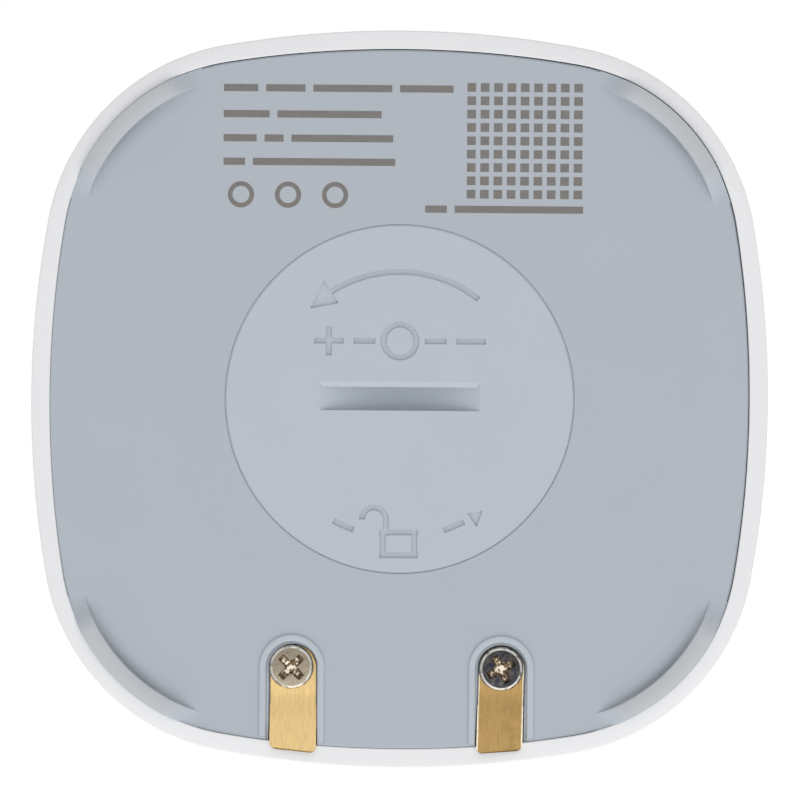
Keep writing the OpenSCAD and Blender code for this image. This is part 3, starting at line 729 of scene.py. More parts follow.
class ShapeTree(Graph):
    """A Geometry Nodes tree with named inputs that is run once."""

    def __init__(self, name: str) -> None:
        """Starts the tree with a mesh as its first input."""
        super().__init__(bpy.data.node_groups.new(name, "GeometryNodeTree"))
        self.values: dict[str, object] = {}
        self.tree.interface.new_socket("Start", in_out="INPUT", socket_type="NodeSocketGeometry")
        self.source = self.tree.nodes.new("NodeGroupInput")

    @property
    def start(self) -> Value:
        """The mesh that the tree starts from."""
        return Value(self, self.source.outputs["Start"])

    def value(self, name: str, value: object, kind: str = "Float") -> Value:
        """Adds a named input of a kind, keeps its value for the run and returns it."""
        item = self.tree.interface.new_socket(name, in_out="INPUT", socket_type="NodeSocket" + kind)
        self.values[item.identifier] = value
        return Value(self, self.source.outputs[name])

    def length(self, name: str, value: float) -> Value:
        """Adds a named length."""
        return self.value(name, value * MM)

    def count(self, name: str, value: int) -> Value:
        """Adds a named whole number."""
        return self.value(name, value, "Int")

    def index(self) -> Value:
        """Returns the number of a corner or a point."""
        return self.add("GeometryNodeInputIndex")

    def named(self, name: str) -> Value:
        """Returns a number that the corners of the start mesh carry under a name."""
        return self.add("GeometryNodeInputNamedAttribute", {"Name": name}, data_type="FLOAT")

    def lattice(self, columns: Value, rows: Value) -> tuple[Value, Value, Value]:
        """Returns a grid, and the column and the row of each of its corners."""
        grid = self.add("GeometryNodeMeshGrid", {"Vertices X": columns, "Vertices Y": rows})
        column = self.math("FLOOR", self.index() / rows)
        return grid, column, self.index() - column * rows

    def sample(self, row: Value, kind: str, value: Value) -> Value:
        """Returns a value of the start mesh at a row's own corner."""
        inputs = {"Geometry": self.start, "Value": value, "Index": row}
        return self.add("GeometryNodeSampleIndex", inputs, data_type=kind, domain="POINT")

    def section_at(self, row: Value) -> list[Value]:
        """Returns the depth, the extra depth and the height of a section at a row."""
        return self.split(self.sample(row, "FLOAT_VECTOR", self.add("GeometryNodeInputPosition")))

    def settle(self, grid: Value, place: Value, near: float) -> Value:
        """Returns a grid with its corners moved, and merged where they are near each other."""
        shell = self.add("GeometryNodeSetPosition", {"Geometry": grid, "Position": place})
        return self.add("GeometryNodeMergeByDistance", {"Geometry": shell, "Distance": near})

    def repeat(self, shape: Value, count: Value, place: Value, turn: Value) -> Value:
        """Returns copies of a shape on points, each turned about Z."""
        points = self.add("GeometryNodePoints", {"Count": count, "Position": place})
        inputs = {"Points": points, "Instance": shape, "Rotation": self.join(z=turn)}
        return self.add("GeometryNodeInstanceOnPoints", inputs)

    def grow(self, start: Mesh, result: Value, finish: Finish) -> Mesh:
        """Ends the tree and runs it.

        Args:
            start: Mesh that the tree starts from.
            result: The shape.
            finish: Finish of the shape.

        Returns:
            The shape as a plain, closed mesh.
        """
        self.tree.interface.new_socket("Shape", in_out="OUTPUT", socket_type="NodeSocketGeometry")
        paint = self.value("Finish", finish.material(), "Material")
        whole = self.add("GeometryNodeRealizeInstances", {0: result})
        dressed = self.add("GeometryNodeSetMaterial", {0: whole, "Material": paint})
        self.node("NodeGroupOutput", {"Shape": dressed})
        carrier = place_object(self.tree.name, start)
        modifier = carrier.modifiers.new("shape", "NODES")
        modifier.node_group = self.tree
        for identifier, value in self.values.items():
            modifier[identifier] = value
        mesh = flatten(carrier)
        heal(mesh)
        return mesh


@dataclass
class Section:
    """Corners of a section: depth in from the outer face, height, and how a corner of the body changes it.

    Attributes:
        corners: Depth, height, drop and extra depth of each corner.
    """

    corners: list = field(default_factory=list)

    def to(self, depth: float, height: float, drop: float = 0.0, ease: float = 0.0) -> "Section":
        """Adds one corner and returns the section."""
        self.corners.append((depth, height, drop, ease))
        return self

    def arc(self, depth: float, height: float, radius: float, start: float, end: float,
            steps: int) -> "Section":
        """Adds an arc about a point between two angles in degrees and returns the section."""
        for angle in even(start, end, steps):
            out, up = polar(radius, angle)
            self.to(depth - out, height + up)
        return self

    def mesh(self, closed: bool = False) -> Mesh:
        """Returns the section as an open line of edges, its drop kept as an attribute."""
        corners = self.corners + self.corners[:1] if closed else self.corners
        edges = [(place, place + 1) for place in range(len(corners) - 1)]
        mesh = make_mesh([(depth, ease, height) for depth, height, drop, ease in corners], [], edges)
        drops = mesh.attributes.new("drop", "FLOAT", "POINT")
        drops.data.foreach_set("value", [corner[2] * MM for corner in corners])
        return mesh


@dataclass
class Outline:
    """Rounded square with bowed sides, whose arcs keep their centres at every depth.

    Attributes:
        half_width: Half the width across the sides.
        corner_radius: Radius of a corner.
        bow: Angle from the middle of a side to where a corner starts.
        foot_start: Distance from a corner's diagonal at which a foot starts to ramp.
        foot_end: Distance at which the ramp ends.
        corner_pull: How much nearer the outer face the seam is at a corner than at a side.
        seat: Where the base sits in the cover's opening, off its middle.
    """

    half_width: float
    corner_radius: float = 17.0
    bow: float = math.radians(10.25)
    foot_start: float = 4.2
    foot_end: float = 6.5
    corner_pull: float = 0.22
    seat: Point = (0.055, -0.055)

    @property
    def side_radius(self) -> float:
        """Radius of a bowed side."""
        share = math.cos(self.bow) - math.sin(self.bow)
        return (self.half_width - self.corner_radius * share) / (1.0 - share)

    @property
    def corner_centre(self) -> float:
        """X and Y of a corner arc's centre."""
        return (self.side_radius - self.corner_radius) * math.sin(self.bow)

    def front(self, x: float, inset: float) -> float:
        """Returns the Y of the front side at an X, drawn in by an inset."""
        reach = self.side_radius - inset
        return (self.side_radius - self.half_width) - math.sqrt(reach * reach - x * x)

    def sweep(self, name: str, section: Section, finish: Finish, side_steps: int, corner_steps: int) -> Mesh:
        """Carries a section once round the outline.

        Args:
            name: Name of the tree.
            section: Section that is carried.
            finish: Finish of the shell.
            side_steps: Steps along a side.
            corner_steps: Steps round a corner.

        Returns:
            The closed mesh.
        """
        tree = ShapeTree(name)
        corner_r = tree.length("Corner radius", self.corner_radius)
        side_r = tree.length("Side radius", self.side_radius)
        centre = tree.length("Corner centre", self.corner_centre)
        offset = tree.length("Side offset", self.half_width - self.side_radius)
        bow = tree.value("Bow", self.bow)
        side_middle = tree.length("Side middle", self.half_width * DIAGONAL)
        sides = tree.count("Side steps", side_steps)
        corners = tree.count("Corner steps", corner_steps)
        per = sides + corners
        grid, column, row = tree.lattice(per * 4.0 + 1.0, tree.count("Rows", len(section.corners)))
        turn = tree.math("FLOOR", column / per)
        step = column - turn * per
        on_side = step < sides
        side_angle = bow * (step / sides * 2.0 - 1.0)
        corner_angle = (QUARTER - bow * 2.0) * ((step - sides) / corners) + bow
        angle = tree.blend(corner_angle, side_angle, on_side)
        radius = tree.blend(corner_r, side_r, on_side)
        centre_x = tree.blend(centre, offset, on_side)
        centre_y = tree.blend(centre, 0.0, on_side)
        cosine = tree.math("COSINE", angle)
        sine = tree.math("SINE", angle)
        aside = abs(abs(radius * cosine + centre_x) - abs(radius * sine + centre_y)) * DIAGONAL
        near = tree.span(aside, 1.0, 0.0, 0.0, side_middle, True)
        depth, ease, level = tree.section_at(row)
        reach = radius - (ease * near + depth)
        height = level - tree.sample(row, "FLOAT", tree.named("drop")) * near
        flat = tree.join(reach * cosine + centre_x, reach * sine + centre_y, height)
        inputs = {"Vector": flat, "Angle": turn * QUARTER}
        spun = tree.add("ShaderNodeVectorRotate", inputs, rotation_type="Z_AXIS")
        return tree.grow(section.mesh(), tree.settle(grid, spun, 1e-6), finish)

    def ribs(self, name: str, section: Section, finish: Finish, root: float, steps: int = 64) -> Mesh:
        """Carries a closed section round the four corners, ramped at both ends.

        Args:
            name: Name of the tree.
            section: Closed section of a rib.
            finish: Finish of the ribs.
            root: Height that the ramps end at.
            steps: Steps along a rib.

        Returns:
            The closed mesh of four ribs.
        """
        tree = ShapeTree(name)
        radius = tree.length("Corner radius", self.corner_radius)
        centre = tree.length("Corner centre", self.corner_centre)
        half_angle = tree.value("Half angle", math.asin(self.foot_end / (self.corner_radius - 3.0)))
        foot_start = tree.length("Foot start", self.foot_start)
        foot_end = tree.length("Foot end", self.foot_end)
        base = tree.length("Root height", root)
        pull = tree.length("Corner pull", self.corner_pull)
        side_middle = tree.length("Side middle", self.half_width * DIAGONAL)
        columns = tree.count("Columns", steps + 1)
        grid, column, row = tree.lattice(columns, tree.count("Rows", len(section.corners) + 1))
        angle = half_angle * (column / (columns - 1.0) * 2.0 - 1.0)
        depth, ease, level = tree.section_at(row)
        plain = radius - depth
        aside = abs(plain * tree.math("SINE", angle))
        reach = pull * tree.span(aside, 1.0, 0.0, 0.0, side_middle, True) + plain
        foot = tree.span(aside, 1.0, 0.001, foot_start, foot_end, True)
        turned = angle + QUARTER / 2.0
        flat_x = reach * tree.math("COSINE", turned) + centre
        flat_y = reach * tree.math("SINE", turned) + centre
        rib = tree.settle(grid, tree.join(flat_x, flat_y, tree.blend(base, level, foot)), 1e-7)
        four = tree.repeat(rib, tree.count("Corners", 4), tree.join(), tree.index() * QUARTER)
        return tree.grow(section.mesh(closed=True), four, finish)


@dataclass
class TopCover:
    """White cover: a wall that turns into the roof, a rim that drops in its corners, and a window."""

    outline: Outline
    wall: float = 1.45
    roof: float = 14.4
    height: float = 16.0
    round_radius: float = 8.5
    wall_low: float = 4.5
    wall_high: float = 6.7
    rim_height: float = 0.8
    rim_step: float = 0.6
    rim_round: float = 0.12
    rim_lip: float = 0.06
    corner_drop: float = 0.3
    flat_depth: float = 11.0
    window: Point = (0.0, -15.5)
    window_radius: float = 1.25
    window_mouth: float = 0.12
    pipe_radius: float = 1.2
    pipe_flange: float = 1.8
    pipe_dome: float = 0.14

    def section(self) -> Section:
        """Returns the section, from the underside of the roof round the rim to its top."""
        section = Section().to(self.flat_depth, self.roof)
        inner = self.round_radius - self.wall
        section.arc(self.round_radius, self.roof - inner, inner, 90.0, 0.0, 12)
        pull = -self.outline.corner_pull
        section.to(self.wall, self.wall_high, 0.0, pull)
        section.to(self.wall, self.rim_height + self.rim_step, 0.0, pull)
        section.to(self.wall, self.rim_height + self.rim_lip, self.corner_drop, pull)
        section.to(self.wall - self.rim_lip, self.rim_height, self.corner_drop, pull)
        for angle in even(90.0, 0.0, 6):
            out, up = polar(1.0, angle)
            section.to(self.rim_round * (1.0 - out), self.rim_height + self.rim_round * (1.0 - up),
                       self.corner_drop * up)
        section.to(0.0, self.rim_height + self.rim_round).to(0.0, self.wall_low)
        section.arc(self.round_radius, self.height - self.round_radius, self.round_radius, 0.0, 90.0, 24)
        return section.to(self.flat_depth, self.height)

    def build(self) -> None:
        """Sweeps the shell, opens the window and hands the cover over."""
        shell = self.outline.sweep("cover_shell", self.section(), COVER, 24, 72)
        low = self.roof - 1.0
        high = self.height + 1.0
        radius = self.window_radius
        brim = self.height - self.window_mouth
        profile = [(0.0, low), (radius, low), (radius, brim), (radius + high - brim, high), (0.0, high)]
        shell = work_mesh(shell, [moved(lathe(profile, 64), *self.window)], Join.CUT)
        hand_over("top_cover_shell", shell, COVER, 32.0, Body.HOUSING, "cover_white", "top_cover")
        self.build_window()

    def build_window(self) -> None:
        """Turns the light pipe that shows in the roof."""
        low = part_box("light_pipe")[0].z / MM
        radius = self.pipe_radius
        step = self.roof - 0.5
        shoulder = self.height - 0.16
        profile = [(0.0, low), (radius - 0.1, low), (radius, low + 0.1), (radius, step),
                   (self.pipe_flange, step), (self.pipe_flange, self.roof), (radius, self.roof)]
        for angle in even(0.0, 90.0, 8):
            out, up = polar(1.0, angle)
            profile.append((radius * out, shoulder + self.pipe_dome * up))
        pipe = moved(lathe(profile, 64), *self.window)
        hand_over("light_pipe_window", pipe, WINDOW, 40.0, Body.HOUSING, "window_clear", "light_pipe")


@dataclass
class BaseCover:
    """Grey base: plate, skirt, battery well, bosses, contact pockets with lips, feet and print."""

    outline: Outline
    face: float = 0.8
    plate_top: float = 2.6
    edge: float = 1.53
    band: float = 1.47
    line_depth: float = 0.14
    skirt: float = 2.0
    skirt_top: float = 6.4
    seal_low: float = 2.9
    seal_high: float = 4.0
    seal_depth: float = 2.55
    flat_depth: float = 9.5
    seat_radius: float = 13.75
    seat_mouth: float = 0.05
    well_radius: float = 12.5
    well_outer: float = 15.15
    well_top: float = 8.86
    well_end: float = 9.9
    ledge: float = 2.72
    path_inner: float = 11.5
    path_radius: float = 13.37
    contact_x: float = 8.15
    screw_y: float = -21.15
    post_radius: float = 3.1
    post_top: float = 7.2
    bore_radius: float = 1.75
    bore_wide: float = 2.25
    pocket_radius: float = 2.03
    pocket_top: float = 1.7
    pocket_draft: float = 0.05
    pocket_shift: float = 0.18
    pocket_end: float = -31.0
    shelf: float = 1.0
    bed_gap: float = 0.1
    bed_reach: float = 1.82
    lip_width: float = 0.54
    lip_height: float = 0.2
    lip_round: float = 0.13
    well_root: float = 1.6
    boss: float = 15.612
    boss_radius: float = 2.3
    boss_root: float = 2.1
    pilot_radius: float = 0.85
    pilot_low: float = 7.6
    pilot_high: float = 11.6
    snap: tuple = (1.05, 8.0, 27.375)
    snap_low: float = 5.1
    snap_high: float = 6.0
    path_start: float = -52.5
    path_levels: tuple = ((12.5, 3.92, 5.06), (-27.5, 2.3, 4.4))
    bore_low: float = 1.5
    bore_high: float = 8.0
    collar_low: float = 3.15
    collar_high: float = 3.95
    gate: tuple = (15.15, 4.64, 18.525)
    gate_low: float = 6.14
    gate_high: float = 15.0
    gate_turn: float = 60.0
    board: float = 11.1
    foot_width: float = 1.33
    foot_root: float = 1.3
    hollow_depth: float = 0.3
    hollow_width: float = 1.2
    film: float = 0.012
    print_line: float = 0.56
    print_gap: float = 0.62

    def plate(self) -> Mesh:
        """Returns the plate with its skirt and seal groove."""
        pull = -self.outline.corner_pull
        section = Section().to(self.flat_depth, self.face)
        foot = self.band + self.foot_width
        for share in (1.0, 0.75, 0.5, 0.3, 0.15, 0.0, -0.2):
            section.to(foot + share * self.hollow_width, self.face, 0.0, pull)
        line = self.face + self.line_depth
        step = self.seal_low - 0.3
        side = self.edge + 0.04
        border = ((self.edge + 0.1, self.face), (self.edge + 0.03, self.face + 0.03),
                  (self.edge, self.face + 0.1), (self.edge, line), (self.band, line), (self.band, step),
                  (side, step), (side, self.seal_low))
        for depth, height in border:
            section.to(depth, height, 0.0, pull)
        section.to(self.seal_depth, self.seal_low).to(self.seal_depth, self.seal_high)
        section.to(side, self.seal_high, 0.0, pull).to(side, self.skirt_top - 0.1, 0.0, pull)
        section.to(self.edge + 0.1, self.skirt_top, 0.0, pull).to(self.edge + self.skirt, self.skirt_top)
        section.to(self.edge + self.skirt, self.plate_top).to(self.flat_depth, self.plate_top)
        mesh = self.outline.sweep("base_plate", section, BASE, 16, 64)
        self.hollow(mesh)
        return moved(mesh, *self.outline.seat)

    def hollow(self, mesh: Mesh) -> None:
        """Sinks the plate's face a little along the foot of each rib."""
        foot = self.band + self.foot_width - self.outline.corner_pull
        centre = self.outline.corner_centre
        for corner in mesh.vertices:
            x, y, z = (abs(part) / MM for part in corner.co)
            depth = self.outline.corner_radius - math.hypot(x - centre, y - centre)
            away = max(0.0, (depth - foot) / self.hollow_width)
            aside = abs(x - y) * DIAGONAL / self.outline.foot_end
            if abs(z - self.face) < 0.001 and depth > foot - 0.4 and away < 1.0 and aside < 1.0:
                corner.co.z += self.hollow_depth * MM * (1.0 - away) ** 2 * (1.0 - aside ** 2) ** 2

    def additions(self) -> list[Mesh]:
        """Returns the shapes that stand on the plate: well, bosses and snaps."""
        parts = [rod(self.well_outer, self.well_root, self.well_top, 160)]
        for side in Side:
            post = rod(self.post_radius, self.boss_root, self.post_top)
            parts.append(moved(post, side.value * self.contact_x, self.screw_y))
            boss = rod(self.boss_radius, self.boss_root, self.board)
            parts.append(moved(boss, side.value * self.boss, self.boss))
        for turn in (0.0, 90.0, 180.0, 270.0):
            parts.append(moved(prism(bar(*self.snap), self.snap_low, self.snap_high), turn=turn))
        return parts

    def cuts(self) -> list[Mesh]:
        """Returns the shapes that are cut away: door seat, well, bayonet, pockets and bores."""
        rim = self.seat_radius
        mouth = rim + self.seat_mouth
        seat = [(0.0, -1.0), (mouth, -1.0), (mouth, self.face), (rim, self.face + self.seat_mouth),
                (rim, self.ledge), (0.0, self.ledge)]
        parts = [lathe(seat), rod(self.well_radius, self.ledge - 0.4, self.well_end, 160)]
        for turn in (0.0, 120.0, 240.0):
            for end, low, high in self.path_levels:
                way = ring_sector(self.path_inner, self.path_radius, self.path_start, end)
                parts.append(moved(prism(way, low, high), turn=turn))
        for side in Side:
            parts += self.pocket(side)
            thin = self.bore_radius
            wide = self.bore_wide
            bore = lathe([(0.0, self.bore_low), (thin, self.bore_low), (thin, self.collar_low),
                          (wide, self.collar_low), (wide, self.collar_high), (thin, self.collar_high),
                          (thin, self.bore_high), (0.0, self.bore_high)], 64)
            parts.append(moved(bore, side.value * self.contact_x, self.screw_y))
            pilot = rod(self.pilot_radius, self.pilot_low, self.pilot_high, 32)
            parts.append(moved(pilot, side.value * self.boss, self.boss))
        gate = prism(bar(*self.gate), self.gate_low, self.gate_high)
        return parts + [moved(gate, turn=self.gate_turn)]

    def pocket(self, side: Side) -> list[Mesh]:
        """Returns the two cuts of a contact's pocket: its drafted mouth and the bed of the strip."""
        shapes = []
        wide = self.pocket_radius + self.pocket_draft
        narrow = STRIP_METAL[side].half_width + self.bed_gap
        for half, reach, low, high, draft in (
                (wide, wide, 2.0 * self.face - self.shelf, self.shelf, 2.0 * self.pocket_draft),
                (narrow, self.bed_reach, self.shelf - 0.05, self.pocket_top, 0.0)):
            outline = strip_head(half, self.screw_y, reach)
            outline += [(-half, self.pocket_end), (half, self.pocket_end)]
            shapes.append(prism(outline, low, high, draft))
        return [moved(shapes[0], self.pocket_middle(side)), set_strip(shapes[1], side)]

    def build(self) -> None:
        """Builds the base and what is moulded or printed on it."""
        body = work_mesh(self.plate(), self.additions(), Join.ADD)
        body = work_mesh(body, self.cuts(), Join.CUT)
        hand_over("base_cover", body, BASE, 15.0, Body.HOUSING, "base_grey", "bottom_cover")
        self.build_ribs()
        self.build_lips()
        self.build_print()

    def build_ribs(self) -> None:
        """Raises the four foot ribs."""
        outer = self.band
        inner = outer + self.foot_width
        section = Section().to(outer, self.foot_root).to(outer, 0.12).to(outer + 0.03, 0.03)
        section.to(outer + 0.1, 0.0).to(inner - 0.1, 0.0).to(inner - 0.03, 0.03)
        section.to(inner, 0.1).to(inner, self.foot_root)
        ribs = self.outline.ribs("foot_ribs", section, FOOT, self.face + 0.003)
        hand_over("foot_ribs", moved(ribs, *self.outline.seat), FOOT, 40.0, Body.HOUSING, "base_grey")

    def pocket_middle(self, side: Side) -> float:
        """Returns the X of a pocket's middle, the right one cut a little outside its contact."""
        return side.value * self.contact_x + (self.pocket_shift if side is Side.RIGHT else 0.0)

    def lip_path(self, side: Side) -> list:
        """Returns the middle line of one lip, ended just inside the plate's edge."""
        radius = self.pocket_radius + self.lip_width / 2.0
        arch = [(self.pocket_middle(side) + x, y) for x, y in strip_head(radius, self.screw_y, radius, 40)]
        first, last = [(x, self.outline.front(x, self.edge + 0.12)) for x, y in (arch[0], arch[-1])]
        return [(x, y, self.face) for x, y in (first, *arch, last)]

    def build_lips(self) -> None:
        """Runs a rounded lip round each contact pocket."""
        points = []
        edges = []
        for side in Side:
            path = self.lip_path(side)
            edges += [(len(points) + place, len(points) + place + 1) for place in range(len(path) - 1)]
            points += path
        tree = ShapeTree("pocket_lips")
        width = tree.length("Lip width", self.lip_width)
        tall = tree.length("Lip height", self.lip_height) * 2.0
        soft = tree.length("Lip rounding", self.lip_round)
        line = tree.add("GeometryNodeMeshToCurve", {0: tree.start})
        upright = tree.add("GeometryNodeSetCurveNormal", {0: line}, mode="Z_UP")
        frame = tree.add("GeometryNodeCurvePrimitiveQuadrilateral", {"Width": width, "Height": tall})
        rounded = tree.node("GeometryNodeFilletCurve", {0: frame, "Radius": soft, "Limit Radius": True})
        set_poly(rounded)
        tree.fill(rounded, {"Count": 5})
        rounds = Value(tree, rounded.outputs[0])
        lip = tree.add("GeometryNodeCurveToMesh", {0: upright, 1: rounds, "Fill Caps": True})
        lips = tree.grow(make_mesh(points, [], edges), lip, LIP)
        hand_over("pocket_lips", lips, LIP, 40.0, Body.HOUSING, "base_grey")

    def print_marks(self) -> list[tuple]:
        """Returns X, Y, length, height and ring share of plain bars, a block of dots and three rings."""
        rows = ((24.4, 14.0, (2.7, 3.1, 6.2, 4.2)), (22.35, 14.0, (3.6, 8.2)), (20.45, 14.0, (2.6, 1.5, 8.0)),
                (18.6, 14.0, (1.7, 11.2)), (14.95, -1.9, (1.7, 10.1)))
        marks = []
        for level, start_x, words in rows:
            for length in words:
                marks.append((start_x - length / 2.0, level, length, self.print_line, 0.0))
                start_x -= length + self.print_gap
        for column in range(9):
            marks += [(-5.5 - 1.05 * column, 24.55 - 1.05 * row, 0.68, 0.68, 0.0) for row in range(9)]
        return marks + [(12.6 - 3.7 * column, 16.0, 1.0, 1.0, 1.0) for column in range(3)]

    def build_print(self) -> None:
        """Lays plain marks where a maker prints its own."""
        marks = self.print_marks()
        start = make_mesh([(mark[0], mark[1], self.face - 0.004) for mark in marks])
        names = {"length": MM, "tall": MM, "ring": 1.0}
        for place, (name, unit) in enumerate(names.items(), 2):
            values = start.attributes.new(name, "FLOAT", "POINT")
            values.data.foreach_set("value", [mark[place] * unit for mark in marks])
        tree = ShapeTree("print_marks")
        film = tree.length("Film thickness", self.film)
        radius = tree.length("Ring radius", 0.85)
        line = tree.length("Ring line", 0.36)
        length, tall, is_ring = [tree.named(name) for name in names]
        cube = tree.add("GeometryNodeMeshCube", {"Size": (1.0, 1.0, 1.0)})
        circle = tree.add("GeometryNodeCurvePrimitiveCircle", {"Resolution": 48, "Radius": radius})
        ribbon = tree.add("GeometryNodeCurvePrimitiveQuadrilateral", {"Width": line, "Height": film})
        ring = tree.add("GeometryNodeCurveToMesh", {0: circle, 1: ribbon})
        joined = tree.node("GeometryNodeJoinGeometry")
        for shape, chosen, scale in ((cube, is_ring < 0.5, tree.join(length, tall, film)),
                                     (ring, 0.5 - is_ring < 0.0, (1.0, 1.0, 1.0))):
            inputs = {"Points": tree.start, "Selection": chosen, "Instance": shape, "Scale": scale}
            tree.fill(joined, {0: tree.add("GeometryNodeInstanceOnPoints", inputs)})
        mesh = tree.grow(start, Value(tree, joined.outputs[0]), INK)
        hand_over("pad_print", mesh, INK, 30.0, Body.HOUSING, "base_grey")


def set_poly(fillet: Node) -> None:
    """Makes a fillet of straight steps, by a menu input in newer trees and a property in older ones."""
    if hasattr(fillet, "mode"):
        fillet.mode = "POLY"
    else:
        fillet.inputs["Mode"].default_value = "Poly"


@dataclass
class BatteryDoor:
    """Round door with a coin slot, bayonet lugs and plain sunk signs."""

    face: float = 0.8
    radius: float = 13.65
    skirt: float = 13.73
    chamfer: float = 0.06
    line_depth: float = 0.1
    inner: float = 2.6
    plug: float = 12.25
    plug_inner: float = 10.95
    plug_end: float = 4.94
    groove: float = 12.74
    groove_low: float = 1.2
    groove_high: float = 2.2
    lug_low: float = 4.04
    lug_inner: float = 11.6
    lug_radius: float = 13.25
    lug_half: float = 12.0
    slot_length: float = 12.7
    slot_width: float = 1.85
    slot_depth: float = 1.62
    mouth_rise: float = 0.42
    mouth_depth: float = 0.15
    sign_depth: float = 0.2
    sign_draft: float = 0.1
    stroke: float = 0.44

    def blank(self) -> Mesh:
        """Returns the turned blank with its lugs."""
        line = self.face + self.line_depth
        profile = [(0.0, self.face), (self.radius - self.chamfer, self.face),
                   (self.radius - 0.02, self.face + 0.02), (self.radius, self.face + self.chamfer),
                   (self.radius, line), (self.skirt, line), (self.skirt, self.groove_low - 0.05),
                   (self.radius, self.groove_low), (self.groove, self.groove_low),
                   (self.groove, self.groove_high), (self.radius, self.groove_high), (self.radius, self.inner),
                   (self.plug, self.inner), (self.plug, self.plug_end), (self.plug_inner, self.plug_end),
                   (self.plug_inner, self.inner), (0.0, self.inner)]
        sector = ring_sector(self.lug_inner, self.lug_radius, -self.lug_half, self.lug_half)
        lugs = [moved(prism(sector, self.lug_low, self.plug_end), turn=turn) for turn in (0.0, 120.0, 240.0)]
        return work_mesh(lathe(profile), lugs, Join.ADD)

    def slot(self) -> list[Mesh]:
        """Returns the coin's path, a disc on edge, and the ease of its mouth away from the contacts."""
        half = self.slot_length / 2.0
        radius = (half * half + self.slot_depth * self.slot_depth) / (2.0 * self.slot_depth)
        axis = self.face + self.slot_depth - radius
        spread = math.asin(half / radius) * 1.05
        angles = even(-spread, spread, 48)
        arch = [(radius * math.sin(angle), -(axis + radius * math.cos(angle))) for angle in angles]
        width = self.slot_width / 2.0
        path = prism(arch, -width, width)
        path.transform(Matrix.Rotation(-QUARTER, 4, "X"))
        rings = []
        for side, level in ((2.0, self.face - self.mouth_depth), (0.0, self.face + self.mouth_depth)):
            reach = half - 0.2 + 0.1 * side
            low = width - 0.05
            high = width + self.mouth_rise * side
            corners = bar(2.0 * reach, high - low, 0.0, (low + high) / 2.0)
            rings.append([(x, y, level) for x, y in corners])
        return [path, loft(rings)]

    def signs(self) -> list[list[Point]]:
        """Returns the outlines of a turn arrow, a cell between its poles, an open lock and a pointer."""
        tip = [polar(10.0 + offset, turn) for turn, offset in ((57.0, -1.05), (45.0, 0.0), (57.0, 1.05))]
        pointer = [(-5.42, -8.98), (-6.6, -8.75), (-6.12, -10.02)]
        return [self.arc(10.0, 56.0, 128.0), tip, *self.cell_sign(4.55), *self.lock_sign(-11.4), pointer]

    def arc(self, radius: float, start: float, end: float, steps: int = 24) -> list[Point]:
        """Returns a line of the signs' width along a circle between two angles in degrees."""
        return ring_sector(radius - self.stroke / 2.0, radius + self.stroke / 2.0, start, end, steps)

    def cell_sign(self, level: float) -> list[list[Point]]:
        """Returns a round cell between a plus and a minus at a height."""
        line = self.stroke
        ring = [[(x, y + level) for x, y in self.arc(1.3, start, start + 210.0)] for start in (-15.0, 165.0)]
        strokes = ((2.3, line, 5.6), (line, 2.3, 5.6), (1.7, line, 2.8), (1.7, line, -2.8), (2.3, line, -5.6))
        return ring + [bar(length, width, x, level) for length, width, x in strokes]

    def lock_sign(self, level: float) -> list[list[Point]]:
        """Returns an open padlock at a height, between two parts of an arc."""
        line = self.stroke
        bow = 0.72
        middle = 1.95
        strokes = ((3.0, line, 0.0, 0.9), (3.0, line, 0.0, -0.9), (line, 2.0, -1.24, 0.0),
                   (line, 2.0, 1.24, 0.0))
        shapes = [bar(length, width, x, level + y) for length, width, x, y in strokes]
        shapes.append([(x + middle, y + level + 1.9) for x, y in ring_sector(bow, bow + line, 0.0, 180.0)])
        shapes.append(bar(line, 1.5, middle - bow - line / 2.0, level + 1.4))
        return shapes + [self.arc(10.9, start, start + 9.0, 8) for start in (-71.0, -118.0)]

    def build(self) -> None:
        """Cuts the slot and the signs into the blank and hands the door over."""
        body = work_mesh(self.blank(), self.slot(), Join.CUT)
        sunk = [prism(draw_in(shape, -self.sign_draft / 2.0), self.face - 0.1, self.face + self.sign_depth,
                      self.sign_draft) for shape in self.signs()]
        body = work_mesh(body, sunk, Join.CUT)
        hand_over("battery_door_disc", body, DOOR, 15.0, Body.DOOR, "door_grey", "battery_door")


